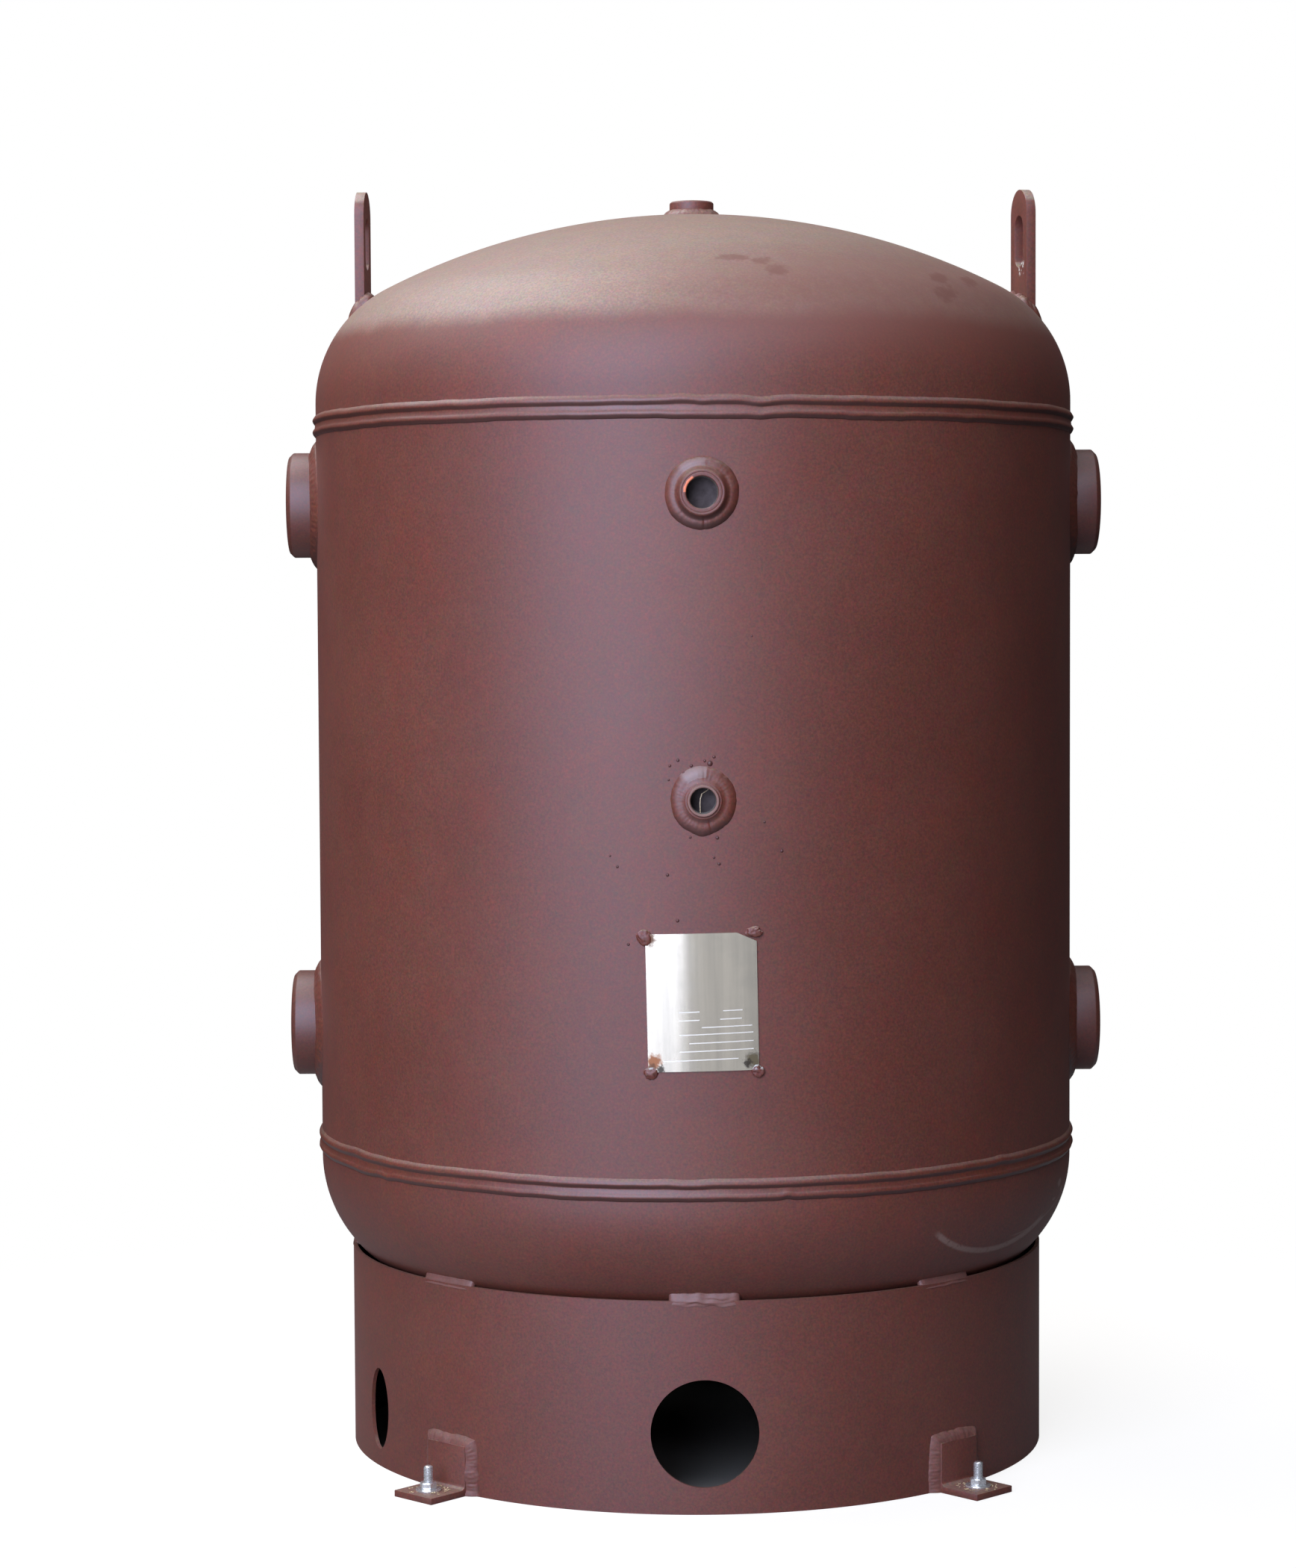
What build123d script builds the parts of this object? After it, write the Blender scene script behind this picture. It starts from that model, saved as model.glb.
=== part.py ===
"""Vertical carbon-steel buffer tank on a ring skirt, with its couplings, lugs and anchor feet.

Millimetres. The tank's axis is Z, the floor is z = 0, and the nameplate side faces -Y.
Azimuths are in degrees, from the nameplate side towards +X.
"""

import os
from math import atan2, cos, degrees, radians, sin, sqrt, tan

from build123d import *

os.makedirs("parts", exist_ok=True)

# Vessel: a rolled shell, measured from seam to seam, between two dished heads pressed from the same plate.
vessel_od = 762.0
vessel_wall = 6.35
shell_length = 718.6
lower_seam_height = 311.4
head_crown_radius = 680.0
head_knuckle_radius = 127.0
head_flange = 19.0

# Girth seams: bevelled plate ends, filled by a weld with two cap passes side by side.
seam_root_gap = 2.0
seam_land = 1.5
seam_bevel_angle = 30.0
seam_width = 21.0
seam_crown = 2.8
seam_valley = 0.8

# Plain butt seams of the rolled plates, at the back.
long_seam_azimuth = 180.0
long_seam_width = 14.0
long_seam_crown = 2.0

# Threaded half couplings: outside, bore, length, how far they stand out, and where they are from the seams.
coupling_fit_gap = 0.5
side_coupling_od = 106.0
side_coupling_bore = 83.0
side_coupling_length = 54.0
side_coupling_stand = 30.0
side_coupling_chamfer = 3.0
side_weld_leg = 11.0
side_weld_rise = 11.0
upper_nozzle_drop = 80.8
lower_nozzle_rise = 111.0

upper_front_od = 43.0
upper_front_bore = 29.5
upper_front_length = 30.0
upper_front_stand = 11.0
upper_front_drop = 80.8
upper_front_weld_leg = 12.5
upper_front_weld_rise = 6.0

lower_front_od = 34.5
lower_front_bore = 24.0
lower_front_length = 27.0
lower_front_stand = 9.0
lower_front_rise = 357.1
lower_front_weld_leg = 13.5
lower_front_weld_rise = 5.0

vent_od = 44.5
vent_bore = 29.5
vent_length = 34.0
vent_stand = 15.5
vent_weld_leg = 8.0
vent_weld_rise = 8.0

drain_od = 44.5
drain_bore = 29.5
drain_length = 34.0
drain_stand = 18.0
drain_weld_leg = 8.0
drain_weld_rise = 8.0

small_coupling_chamfer = 1.6
thread_lead = 2.0

# Lifting lugs: round-topped plates with a tall eye, standing on the top head's knuckle.
lug_width = 50.8
lug_thickness = 9.5
lug_height = 118.5
lug_inset = 45.0
lug_eye_width = 26.0
lug_eye_height = 52.0
lug_eye_margin = 26.0
lug_weld_leg = 8.0
right_lug_turn = 12.0

# Skirt: a rolled ring that meets the bottom head at its inner top edge.
skirt_inset = 30.5
skirt_wall = 4.8
access_hole_d = 101.6
access_hole_height = 76.0
vent_slot_width = 44.0
vent_slot_height = 80.0
vent_slot_centre = 57.0
vent_slot_azimuths = (-64.5, 115.5)
stitch_count = 8
stitch_length = 65.0
stitch_drop = 2.5
stitch_swell = 2.5
stitch_toe = 5.5

# Anchor feet: short pieces of equal angle welded to the skirt.
foot_leg = 50.8
foot_wall = 6.35
foot_width = 50.8
foot_root_radius = 5.0
foot_azimuth = 43.5
foot_weld_leg = 9.0
anchor_hole_d = 11.0
anchor_reach = 30.0

# Nameplate: a curved plate held by a weld tack on each corner.
plate_width = 101.6
plate_height = 127.0
plate_thickness = 1.5
plate_corner = 2.0
plate_rise = 171.9
plate_turn = 1.0
tack_d = 15.0
tack_rise = 3.0

# Cutters run past the faces they cut by this much.
overrun = 10.0

vessel_r = vessel_od / 2
inner_r = vessel_r - vessel_wall
upper_seam_height = lower_seam_height + shell_length
seam_root_half = seam_root_gap / 2
seam_bevel_half = seam_root_half + (vessel_wall - seam_land) * tan(radians(seam_bevel_angle))
skirt_r = vessel_r - skirt_inset
skirt_inner_r = skirt_r - skirt_wall
upper_nozzle_height = upper_seam_height - upper_nozzle_drop
lower_nozzle_height = lower_seam_height + lower_nozzle_rise
upper_front_height = upper_seam_height - upper_front_drop
lower_front_height = lower_seam_height + lower_front_rise
plate_centre = lower_seam_height + plate_rise
lug_radius = vessel_r - lug_inset
knuckle_x = vessel_r - head_knuckle_radius
crown_drop = sqrt((head_crown_radius - head_knuckle_radius) ** 2 - knuckle_x**2)
knuckle_angle = degrees(atan2(crown_drop, knuckle_x))
head_rise = head_flange - crown_drop + head_crown_radius


def knuckle_rise(radius):
    """Height of a head's knuckle above its seam, at a radius from the tank's axis."""
    return head_flange + sqrt(head_knuckle_radius**2 - (radius - knuckle_x) ** 2)


def outward(azimuth):
    """Level direction pointing out of the tank at an azimuth."""
    return Vector(sin(radians(azimuth)), -cos(radians(azimuth)), 0)


def radial_plane(origin, direction):
    """Plane whose local y points along the direction, for profiles turned about that direction."""
    across = Vector(0, 0, 1) if abs(direction.Z) < abs(direction.X) + abs(direction.Y) else Vector(1, 0, 0)
    return Plane(origin=origin, x_dir=across, z_dir=across.cross(direction))


def facing_plane(azimuth, reach, height):
    """Plane facing outwards at an azimuth, with its local y pointing up."""
    direction = outward(azimuth)
    return Plane(
        origin=direction * reach + Vector(0, 0, height),
        x_dir=Vector(0, 0, 1).cross(direction),
        z_dir=direction,
    )


def head_plane(seam_height, up):
    """Plane of a head's profile: local x is the radius, local y runs from the seam to the crown."""
    return Plane(origin=(0, 0, seam_height), x_dir=(1, 0, 0), z_dir=(0, -up, 0))


def head_outside(seam_height, up):
    """Solid bounded by the outside of a head, for trimming what is welded to it."""
    with BuildPart() as envelope:
        with BuildSketch(head_plane(seam_height, up)):
            with BuildLine():
                Polyline((0, head_rise), (0, 0), (vessel_r, 0), (vessel_r, head_flange))
                CenterArc((knuckle_x, head_flange), head_knuckle_radius, 0, knuckle_angle)
                CenterArc((0, head_flange - crown_drop), head_crown_radius, knuckle_angle, 90 - knuckle_angle)
            make_face()
        revolve(axis=Axis.Z)
    return envelope.part


top_outside = head_outside(upper_seam_height, 1)
bottom_outside = head_outside(lower_seam_height, -1)

with BuildPart() as vessel_outside:
    with BuildSketch(Plane.XY.offset(lower_seam_height)):
        Circle(vessel_r)
    extrude(amount=shell_length)

# Couplings of the shell, as name: (azimuth, height, outside, bore, length, stand, chamfer, weld leg, rise).
shell_couplings = {
    "upper_front_coupling": (
        0, upper_front_height, upper_front_od, upper_front_bore,
        upper_front_length, upper_front_stand, small_coupling_chamfer,
        upper_front_weld_leg, upper_front_weld_rise,
    ),
    "lower_front_coupling": (
        0, lower_front_height, lower_front_od, lower_front_bore,
        lower_front_length, lower_front_stand, small_coupling_chamfer,
        lower_front_weld_leg, lower_front_weld_rise,
    ),
}
for level, height in (("upper", upper_nozzle_height), ("lower", lower_nozzle_height)):
    for side, azimuth in (("left", -90), ("right", 90)):
        shell_couplings[f"{level}_{side}_nozzle"] = (
            azimuth, height, side_coupling_od, side_coupling_bore,
            side_coupling_length, side_coupling_stand, side_coupling_chamfer,
            side_weld_leg, side_weld_rise,
        )

# Shell: rolled plate with both ends bevelled, and a hole for each coupling.
with BuildPart() as shell:
    with BuildSketch(Plane.XZ):
        with BuildLine():
            Polyline(
                (inner_r, lower_seam_height + seam_root_half),
                (inner_r + seam_land, lower_seam_height + seam_root_half),
                (vessel_r, lower_seam_height + seam_bevel_half),
                (vessel_r, upper_seam_height - seam_bevel_half),
                (inner_r + seam_land, upper_seam_height - seam_root_half),
                (inner_r, upper_seam_height - seam_root_half),
                close=True,
            )
        make_face()
    revolve(axis=Axis.Z)
    for azimuth, height, outside_d, *_ in shell_couplings.values():
        with BuildSketch(facing_plane(azimuth, 0, height)):
            Circle(outside_d / 2 + coupling_fit_gap)
        extrude(amount=vessel_r + overrun, mode=Mode.SUBTRACT)
shell.part.label = "shell"
export_step(shell.part, "parts/shell.step")

# Heads: bevelled straight flange, knuckle and crown, with a hole on the axis.
for name, seam_height, up, outside_d in (
    ("top_head", upper_seam_height, 1, vent_od),
    ("bottom_head", lower_seam_height, -1, drain_od),
):
    with BuildPart() as head:
        with BuildSketch(head_plane(seam_height, up)):
            with BuildLine():
                Polyline(
                    (inner_r, head_flange),
                    (inner_r, seam_root_half),
                    (inner_r + seam_land, seam_root_half),
                    (vessel_r, seam_bevel_half),
                    (vessel_r, head_flange),
                )
                CenterArc((knuckle_x, head_flange), head_knuckle_radius, 0, knuckle_angle)
                CenterArc((0, head_flange - crown_drop), head_crown_radius, knuckle_angle, 90 - knuckle_angle)
                Line((0, head_rise), (0, head_rise - vessel_wall))
                CenterArc(
                    (0, head_flange - crown_drop), head_crown_radius - vessel_wall,
                    knuckle_angle, 90 - knuckle_angle,
                )
                CenterArc((knuckle_x, head_flange), head_knuckle_radius - vessel_wall, 0, knuckle_angle)
            make_face()
        revolve(axis=Axis.Z)
        with BuildSketch(Plane.XY.offset(seam_height)):
            Circle(outside_d / 2 + coupling_fit_gap)
        extrude(amount=up * (head_rise + overrun), mode=Mode.SUBTRACT)
    head.part.label = name
    export_step(head.part, f"parts/{name}.step")

# Girth welds: each fills the groove from the root out, and its two cap ridges overlap the plates.
for name, seam_height in (("top_girth_weld", upper_seam_height), ("bottom_girth_weld", lower_seam_height)):
    with BuildPart() as girth_weld:
        with BuildSketch(head_plane(seam_height, 1)):
            with BuildLine():
                Polyline(
                    (vessel_r, -seam_width / 2),
                    (vessel_r, -seam_bevel_half),
                    (inner_r + seam_land, -seam_root_half),
                    (inner_r, -seam_root_half),
                    (inner_r, seam_root_half),
                    (inner_r + seam_land, seam_root_half),
                    (vessel_r, seam_bevel_half),
                    (vessel_r, seam_width / 2),
                )
                for edge in (-seam_width / 2, seam_width / 2):
                    ThreePointArc(
                        (vessel_r, edge), (vessel_r + seam_crown, edge / 2), (vessel_r + seam_valley, 0)
                    )
            make_face()
        revolve(axis=Axis.Z)
    girth_weld.part.label = name
    export_step(girth_weld.part, f"parts/{name}.step")


def seam_bead(radius, bottom, height):
    """Low weld bead down the back of a rolled cylinder."""
    with BuildPart() as bead:
        with BuildSketch(Plane.XY.offset(bottom).rotated((0, 0, long_seam_azimuth))):
            with BuildLine():
                ThreePointArc(
                    (-long_seam_width / 2, -radius),
                    (0, -radius - long_seam_crown),
                    (long_seam_width / 2, -radius),
                )
                Polyline(
                    (long_seam_width / 2, -radius),
                    (long_seam_width / 2, -radius + long_seam_crown),
                    (-long_seam_width / 2, -radius + long_seam_crown),
                    (-long_seam_width / 2, -radius),
                )
            make_face()
            Circle(radius, mode=Mode.SUBTRACT)
        extrude(amount=height)
    return bead.part


long_seam_weld = seam_bead(vessel_r, lower_seam_height + seam_width / 2, shell_length - seam_width)
long_seam_weld.label = "long_seam_weld"
export_step(long_seam_weld, "parts/long_seam_weld.step")


def half_coupling(plane, outside_d, bore_d, length, stand, chamfer_leg):
    """Half coupling turned about the plane's local y, which is zero where its axis leaves the tank."""
    outside_r = outside_d / 2
    bore_r = bore_d / 2
    with BuildPart() as coupling:
        with BuildSketch(plane):
            with BuildLine():
                Polyline(
                    (bore_r, stand - length),
                    (outside_r, stand - length),
                    (outside_r, stand - chamfer_leg),
                    (outside_r - chamfer_leg, stand),
                    (bore_r + thread_lead, stand),
                    (bore_r, stand - thread_lead),
                    close=True,
                )
            make_face()
        revolve(axis=Axis(plane.origin, plane.y_dir))
    return coupling.part


def coupling_weld(plane, outside_d, leg, rise, tank):
    """Fillet weld round a coupling, as high as its rise, trimmed to sit on the tank's curved outside."""
    outside_r = outside_d / 2
    sink = vessel_r - sqrt(vessel_r**2 - (outside_r + 2 * leg) ** 2)
    with BuildPart() as weld:
        with BuildSketch(plane):
            with BuildLine():
                Polyline(
                    (outside_r, rise),
                    (outside_r + leg + leg * sink / rise, -sink),
                    (outside_r, -sink),
                    close=True,
                )
            make_face()
        revolve(axis=Axis(plane.origin, plane.y_dir))
        add(tank, mode=Mode.SUBTRACT)
    return weld.part


# Couplings of the shell: side pairs for the loop, and the two small ones above the nameplate.
for name, sizes in shell_couplings.items():
    azimuth, height, outside_d, bore_d, length, stand, chamfer_leg, leg, rise = sizes
    seat = radial_plane(outward(azimuth) * vessel_r + Vector(0, 0, height), outward(azimuth))
    coupling_part = half_coupling(seat, outside_d, bore_d, length, stand, chamfer_leg)
    coupling_part.label = name
    export_step(coupling_part, f"parts/{name}.step")
    weld_part = coupling_weld(seat, outside_d, leg, rise, vessel_outside.part)
    weld_part.label = f"{name}_weld"
    export_step(weld_part, f"parts/{name}_weld.step")

# Couplings of the heads: the vent on top and the drain underneath, on the tank's axis.
for name, seam_height, up, outside_d, bore_d, length, stand, leg, rise, tank in (
    ("top_vent_coupling", upper_seam_height, 1, vent_od, vent_bore, vent_length, vent_stand,
     vent_weld_leg, vent_weld_rise, top_outside),
    ("bottom_drain_coupling", lower_seam_height, -1, drain_od, drain_bore, drain_length, drain_stand,
     drain_weld_leg, drain_weld_rise, bottom_outside),
):
    seat = radial_plane(Vector(0, 0, seam_height + up * head_rise), Vector(0, 0, up))
    coupling_part = half_coupling(seat, outside_d, bore_d, length, stand, small_coupling_chamfer)
    coupling_part.label = name
    export_step(coupling_part, f"parts/{name}.step")
    weld_part = coupling_weld(seat, outside_d, leg, rise, tank)
    weld_part.label = f"{name}_weld"
    export_step(weld_part, f"parts/{name}_weld.step")

# Lifting lugs: each plate is trimmed to the head it stands on, and welded all round.
lug_angle = atan2(knuckle_rise(lug_radius) - head_flange, lug_radius - knuckle_x)
lug_base_height = upper_seam_height + knuckle_rise(lug_radius)
lug_top_height = lug_base_height + lug_height
lug_slant = lug_thickness / sin(lug_angle)
for name, side, turn in (("left_lifting_lug", -1, 0), ("right_lifting_lug", 1, right_lug_turn)):
    across = Vector(-sin(radians(turn)), cos(radians(turn)), 0)
    face = Vector(side * cos(radians(turn)), side * sin(radians(turn)), 0)
    upright = Plane(origin=(side * lug_radius, 0, 0), x_dir=across, z_dir=across.cross(Vector(0, 0, 1)))
    with BuildPart() as lug:
        with BuildSketch(upright):
            with Locations((0, lug_top_height - lug_width / 2)):
                Circle(lug_width / 2)
                Rectangle(
                    lug_width, lug_top_height - lug_width / 2 - upper_seam_height - head_flange,
                    align=(Align.CENTER, Align.MAX),
                )
            with Locations((0, lug_top_height - lug_eye_margin - lug_eye_height / 2)):
                SlotOverall(lug_eye_height, lug_eye_width, rotation=90, mode=Mode.SUBTRACT)
        extrude(amount=lug_thickness / 2, both=True)
        add(top_outside, mode=Mode.SUBTRACT)
    lug.part.label = name
    export_step(lug.part, f"parts/{name}.step")
    normal = face * cos(lug_angle) + Vector(0, 0, sin(lug_angle))
    slope = Plane(
        origin=Vector(side * lug_radius, 0, lug_base_height),
        x_dir=across,
        z_dir=normal,
    )
    lean = slope.to_local_coords(slope.origin + Vector(0, 0, lug_weld_leg))
    with BuildPart() as lug_weld:
        for share in (-1, 1):
            with BuildSketch(slope.offset(share * lean.Z)):
                with Locations((0, share * lean.Y)):
                    Rectangle(
                        lug_width + (1 - share) * 2 * lug_weld_leg, lug_slant + (1 - share) * 2 * lug_weld_leg
                    )
        loft()
        add(top_outside, mode=Mode.SUBTRACT)
        add(lug.part, mode=Mode.SUBTRACT)
    lug_weld.part.label = f"{name}_weld"
    export_step(lug_weld.part, f"parts/{name}_weld.step")

# Skirt: rolled ring up to where its inner edge meets the bottom head, with its hand hole and vent slots.
skirt_height = lower_seam_height - knuckle_rise(skirt_inner_r)
with BuildPart() as skirt:
    with BuildSketch():
        Circle(skirt_r)
        Circle(skirt_inner_r, mode=Mode.SUBTRACT)
    extrude(amount=skirt_height)
    with BuildSketch(facing_plane(0, 0, access_hole_height)):
        Circle(access_hole_d / 2)
    extrude(amount=skirt_r + overrun, mode=Mode.SUBTRACT)
    for azimuth in vent_slot_azimuths:
        with BuildSketch(facing_plane(azimuth, 0, vent_slot_centre)):
            Ellipse(vent_slot_width / 2, vent_slot_height / 2)
        extrude(amount=skirt_r + overrun, mode=Mode.SUBTRACT)
skirt.part.label = "skirt"
export_step(skirt.part, "parts/skirt.step")

skirt_seam_weld = seam_bead(skirt_r, 0, skirt_height - stitch_drop)
skirt_seam_weld.label = "skirt_seam_weld"
export_step(skirt_seam_weld, "parts/skirt_seam_weld.step")

# Stitch welds: short fillets from the skirt's top edge to the bottom head.
stitch_arc = degrees(stitch_length / skirt_r)
contact_angle = degrees(atan2(knuckle_rise(skirt_inner_r) - head_flange, skirt_inner_r - knuckle_x))
toe_angle = degrees(atan2(knuckle_rise(skirt_r + stitch_toe) - head_flange, skirt_r + stitch_toe - knuckle_x))
stitch_base = knuckle_rise(skirt_inner_r)
with BuildPart() as stitch_welds:
    for index in range(stitch_count):
        start = (index * 360 / stitch_count) - stitch_arc / 2
        direction = outward(start)
        section = Plane(
            origin=(0, 0, lower_seam_height), x_dir=direction, z_dir=direction.cross(Vector(0, 0, -1))
        )
        with BuildSketch(section):
            with BuildLine():
                CenterArc(
                    (knuckle_x, head_flange), head_knuckle_radius, toe_angle, contact_angle - toe_angle
                )
                Polyline(
                    (skirt_inner_r, stitch_base),
                    (skirt_r, stitch_base),
                    (skirt_r, stitch_base + stitch_drop),
                    (skirt_r + stitch_swell, stitch_base + stitch_drop),
                    (skirt_r + stitch_toe, knuckle_rise(skirt_r + stitch_toe)),
                )
            make_face()
        revolve(axis=Axis.Z, revolution_arc=stitch_arc)
stitch_welds.part.label = "skirt_stitch_welds"
export_step(stitch_welds.part, "parts/skirt_stitch_welds.step")

# Anchor feet: angle pieces standing flush with the skirt's bottom edge, each welded on three sides.
for name, azimuth in (
    ("front_left_foot", -foot_azimuth),
    ("front_right_foot", foot_azimuth),
    ("back_right_foot", 180 - foot_azimuth),
    ("back_left_foot", foot_azimuth - 180),
):
    direction = outward(azimuth)
    with BuildPart() as foot:
        with BuildSketch(
            Plane(origin=direction * skirt_r, x_dir=direction, z_dir=direction.cross(Vector(0, 0, 1)))
        ):
            with BuildLine():
                Polyline(
                    (0, 0), (foot_leg, 0), (foot_leg, foot_wall), (foot_wall, foot_wall),
                    (foot_wall, foot_leg), (0, foot_leg), close=True,
                )
            make_face()
            fillet(vertices().sort_by_distance((foot_wall, foot_wall))[0], foot_root_radius)
        extrude(amount=foot_width / 2, both=True)
        with BuildSketch():
            with Locations(direction * (skirt_r + anchor_reach)):
                Circle(anchor_hole_d / 2)
        extrude(amount=foot_wall, mode=Mode.SUBTRACT)
    foot.part.label = name
    export_step(foot.part, f"parts/{name}.step")
    with BuildPart() as foot_weld:
        for share in (-1, 1):
            with BuildSketch(facing_plane(azimuth, skirt_r + share * foot_wall, 0)):
                Rectangle(
                    foot_width + (1 - share) * 2 * foot_weld_leg, foot_leg + (1 - share) * foot_weld_leg,
                    align=(Align.CENTER, Align.MIN),
                )
        loft()
        add(foot.part, mode=Mode.SUBTRACT)
        with BuildSketch():
            Circle(skirt_r)
        extrude(amount=foot_leg + 2 * foot_weld_leg + overrun, mode=Mode.SUBTRACT)
    foot_weld.part.label = f"{name}_weld"
    export_step(foot_weld.part, f"parts/{name}_weld.step")

# Nameplate: a rectangle pressed to the shell's curve.
with BuildPart() as nameplate:
    with BuildSketch(Plane.XZ):
        with Locations((0, plate_centre)):
            RectangleRounded(plate_width, plate_height, plate_corner, rotation=plate_turn)
    extrude(amount=vessel_r + overrun)
    with BuildSketch(Plane.XY.offset(plate_centre - plate_height)):
        Circle(vessel_r + plate_thickness)
        Circle(vessel_r, mode=Mode.SUBTRACT)
    extrude(amount=2 * plate_height, mode=Mode.INTERSECT)
nameplate.part.label = "nameplate"
export_step(nameplate.part, "parts/nameplate.step")

# Tacks: a blob of weld over each corner of the nameplate.
tack_ball_r = (tack_d**2 / 4 + tack_rise**2) / (2 * tack_rise)
with BuildPart() as nameplate_tacks:
    for across in (-plate_width / 2, plate_width / 2):
        for along in (-plate_height / 2, plate_height / 2):
            x = across * cos(radians(plate_turn)) - along * sin(radians(plate_turn))
            z = across * sin(radians(plate_turn)) + along * cos(radians(plate_turn))
            y = -sqrt(vessel_r**2 - x**2)
            with Locations((x, y + tack_ball_r - tack_rise, plate_centre + z)):
                Sphere(tack_ball_r)
    with BuildSketch(Plane.XY.offset(plate_centre - plate_height)):
        Circle(vessel_r)
    extrude(amount=2 * plate_height, mode=Mode.SUBTRACT)
    add(nameplate.part, mode=Mode.SUBTRACT)
nameplate_tacks.part.label = "nameplate_tacks"
export_step(nameplate_tacks.part, "parts/nameplate_tacks.step")
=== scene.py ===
"""Dressed model of the welded buffer tank: primer paint, hand welds, threads, anchor fixings and nameplate.

Metres. The tank's axis is Z, the floor is z = 0, and the nameplate side faces -Y.
Azimuths are measured from the nameplate side towards +X.
"""

import random
from math import asin, atan2, cos, exp, hypot, pi, radians, sin, sqrt, tau

import bmesh
import bpy
from mathutils import Matrix, Vector, noise


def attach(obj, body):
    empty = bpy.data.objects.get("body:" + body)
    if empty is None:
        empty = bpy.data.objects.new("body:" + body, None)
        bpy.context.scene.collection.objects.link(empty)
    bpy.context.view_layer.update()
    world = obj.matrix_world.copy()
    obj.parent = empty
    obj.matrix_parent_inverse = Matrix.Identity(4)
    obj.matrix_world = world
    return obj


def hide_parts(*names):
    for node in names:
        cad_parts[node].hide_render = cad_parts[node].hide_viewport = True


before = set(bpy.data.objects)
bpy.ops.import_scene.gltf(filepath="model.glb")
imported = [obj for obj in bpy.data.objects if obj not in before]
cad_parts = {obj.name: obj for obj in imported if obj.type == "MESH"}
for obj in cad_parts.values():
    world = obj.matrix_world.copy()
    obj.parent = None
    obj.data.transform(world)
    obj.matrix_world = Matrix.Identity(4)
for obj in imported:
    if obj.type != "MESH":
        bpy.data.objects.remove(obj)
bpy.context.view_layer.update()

# Shell: mild-steel plate rolled into a cylinder, with a hole cut for each coupling.
# The whole tank is sprayed outside with one dry, satin coat of red-oxide primer; inside is bare mill scale.
vessel_radius = 0.381
plate_wall = 0.00635
lower_seam = 0.3114
upper_seam = 1.0300
seam_gap = 0.001
upper_level = 0.9492
lower_level = 0.4224
lower_front_level = 0.6685
nozzle_radius = 0.053
gauge_radius = 0.0215
sensor_radius = 0.01725
fit_gap = 0.0005
cutter_reach = 0.45
sharp_turn = 38
vessel_steps = 192
shell_rows = 71
primer_red = (0.140, 0.037, 0.0225, 1)
primer_dry = (0.155, 0.044, 0.027, 1)
primer_sheen = (0.67, 0.81, 1.0, 1)
primer_warm = (0.165, 0.036, 0.019, 1)
dust_tan = (0.36, 0.27, 0.215, 1)


def wire(tree, item, wires):
    """Links or sets inputs of a shader node."""
    for key, value in wires.items():
        if isinstance(value, bpy.types.NodeSocket):
            tree.links.new(value, item.inputs[key])
        else:
            item.inputs[key].default_value = value


def put(tree, kind, wires=(), **settings):
    """Adds one shader node, with its settings and its inputs."""
    item = tree.nodes.new("ShaderNode" + kind)
    for key, value in settings.items():
        setattr(item, key, value)
    wire(tree, item, dict(wires))
    return item


def reckon(tree, operation, *terms, clamp=False):
    """One Math node, as its output."""
    return put(tree, "Math", dict(enumerate(terms)), operation=operation, use_clamp=clamp).outputs[0]


def less(tree, one, other):
    """One term less another."""
    return reckon(tree, "SUBTRACT", one, other)


def apart(tree, one, other):
    """How far two terms are apart."""
    return reckon(tree, "ABSOLUTE", less(tree, one, other))


def product(tree, first, *others):
    """Terms multiplied together."""
    for other in others:
        first = reckon(tree, "MULTIPLY", first, other)
    return first


def sum_squares(tree, one, other):
    """Squares of two terms, added."""
    return reckon(tree, "ADD", product(tree, one, one), product(tree, other, other))


def tint(tree, share, under, over, blend="MIX"):
    """The under colour covered by the over colour where share is 1."""
    return put(tree, "Mix", {0: share, 6: under, 7: over}, data_type="RGBA", blend_type=blend).outputs[2]


def ramp(tree, value, low, high, start=0.0, end=1.0):
    """A value taken smoothly from one range to another."""
    wires = {0: value, 1: low, 2: high, 3: start, 4: end}
    return put(tree, "MapRange", wires, interpolation_type="SMOOTHSTEP").outputs[0]


def between(tree, value, low, full, fade, high, amount=1.0):
    """Share that rises from low to full and falls from fade to high."""
    return product(tree, ramp(tree, value, low, full), ramp(tree, value, fade, high, amount, 0.0))


def grain(tree, where, scale, detail=2.0, roughness=0.5, output=0):
    """Noise of a size, in cells to the metre."""
    wires = {"Vector": where, "Scale": scale, "Detail": detail, "Roughness": roughness}
    return put(tree, "TexNoise", wires).outputs[output]


def located(tree):
    """Place on the tank, whole and in its parts."""
    where = put(tree, "TexCoord").outputs["Object"]
    return where, put(tree, "SeparateXYZ", {0: where}).outputs


def upward(tree):
    """How far the surface faces up, from -1 to 1."""
    return put(tree, "SeparateXYZ", {0: put(tree, "NewGeometry").outputs["Normal"]}).outputs["Z"]


def raised(tree, height, strength, depth):
    """Fine relief, as a normal."""
    return put(tree, "Bump", {"Height": height, "Strength": strength, "Distance": depth}).outputs[0]


def blank(name):
    """A new material, with its node tree and its shader."""
    material = bpy.data.materials.new(name)
    material.use_nodes = True
    return material, material.node_tree, material.node_tree.nodes["Principled BSDF"]


def effect(name, inputs, outputs):
    """An empty node group with its sockets; gives the tree, its inputs and its outputs."""
    tree = bpy.data.node_groups.new(name, "ShaderNodeTree")
    for label, kind, value in inputs:
        socket = tree.interface.new_socket(label, in_out="INPUT", socket_type=f"NodeSocket{kind}")
        socket.default_value = value
    for label, kind in outputs:
        tree.interface.new_socket(label, in_out="OUTPUT", socket_type=f"NodeSocket{kind}")
    return tree, tree.nodes.new("NodeGroupInput").outputs, tree.nodes.new("NodeGroupOutput").inputs


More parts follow.
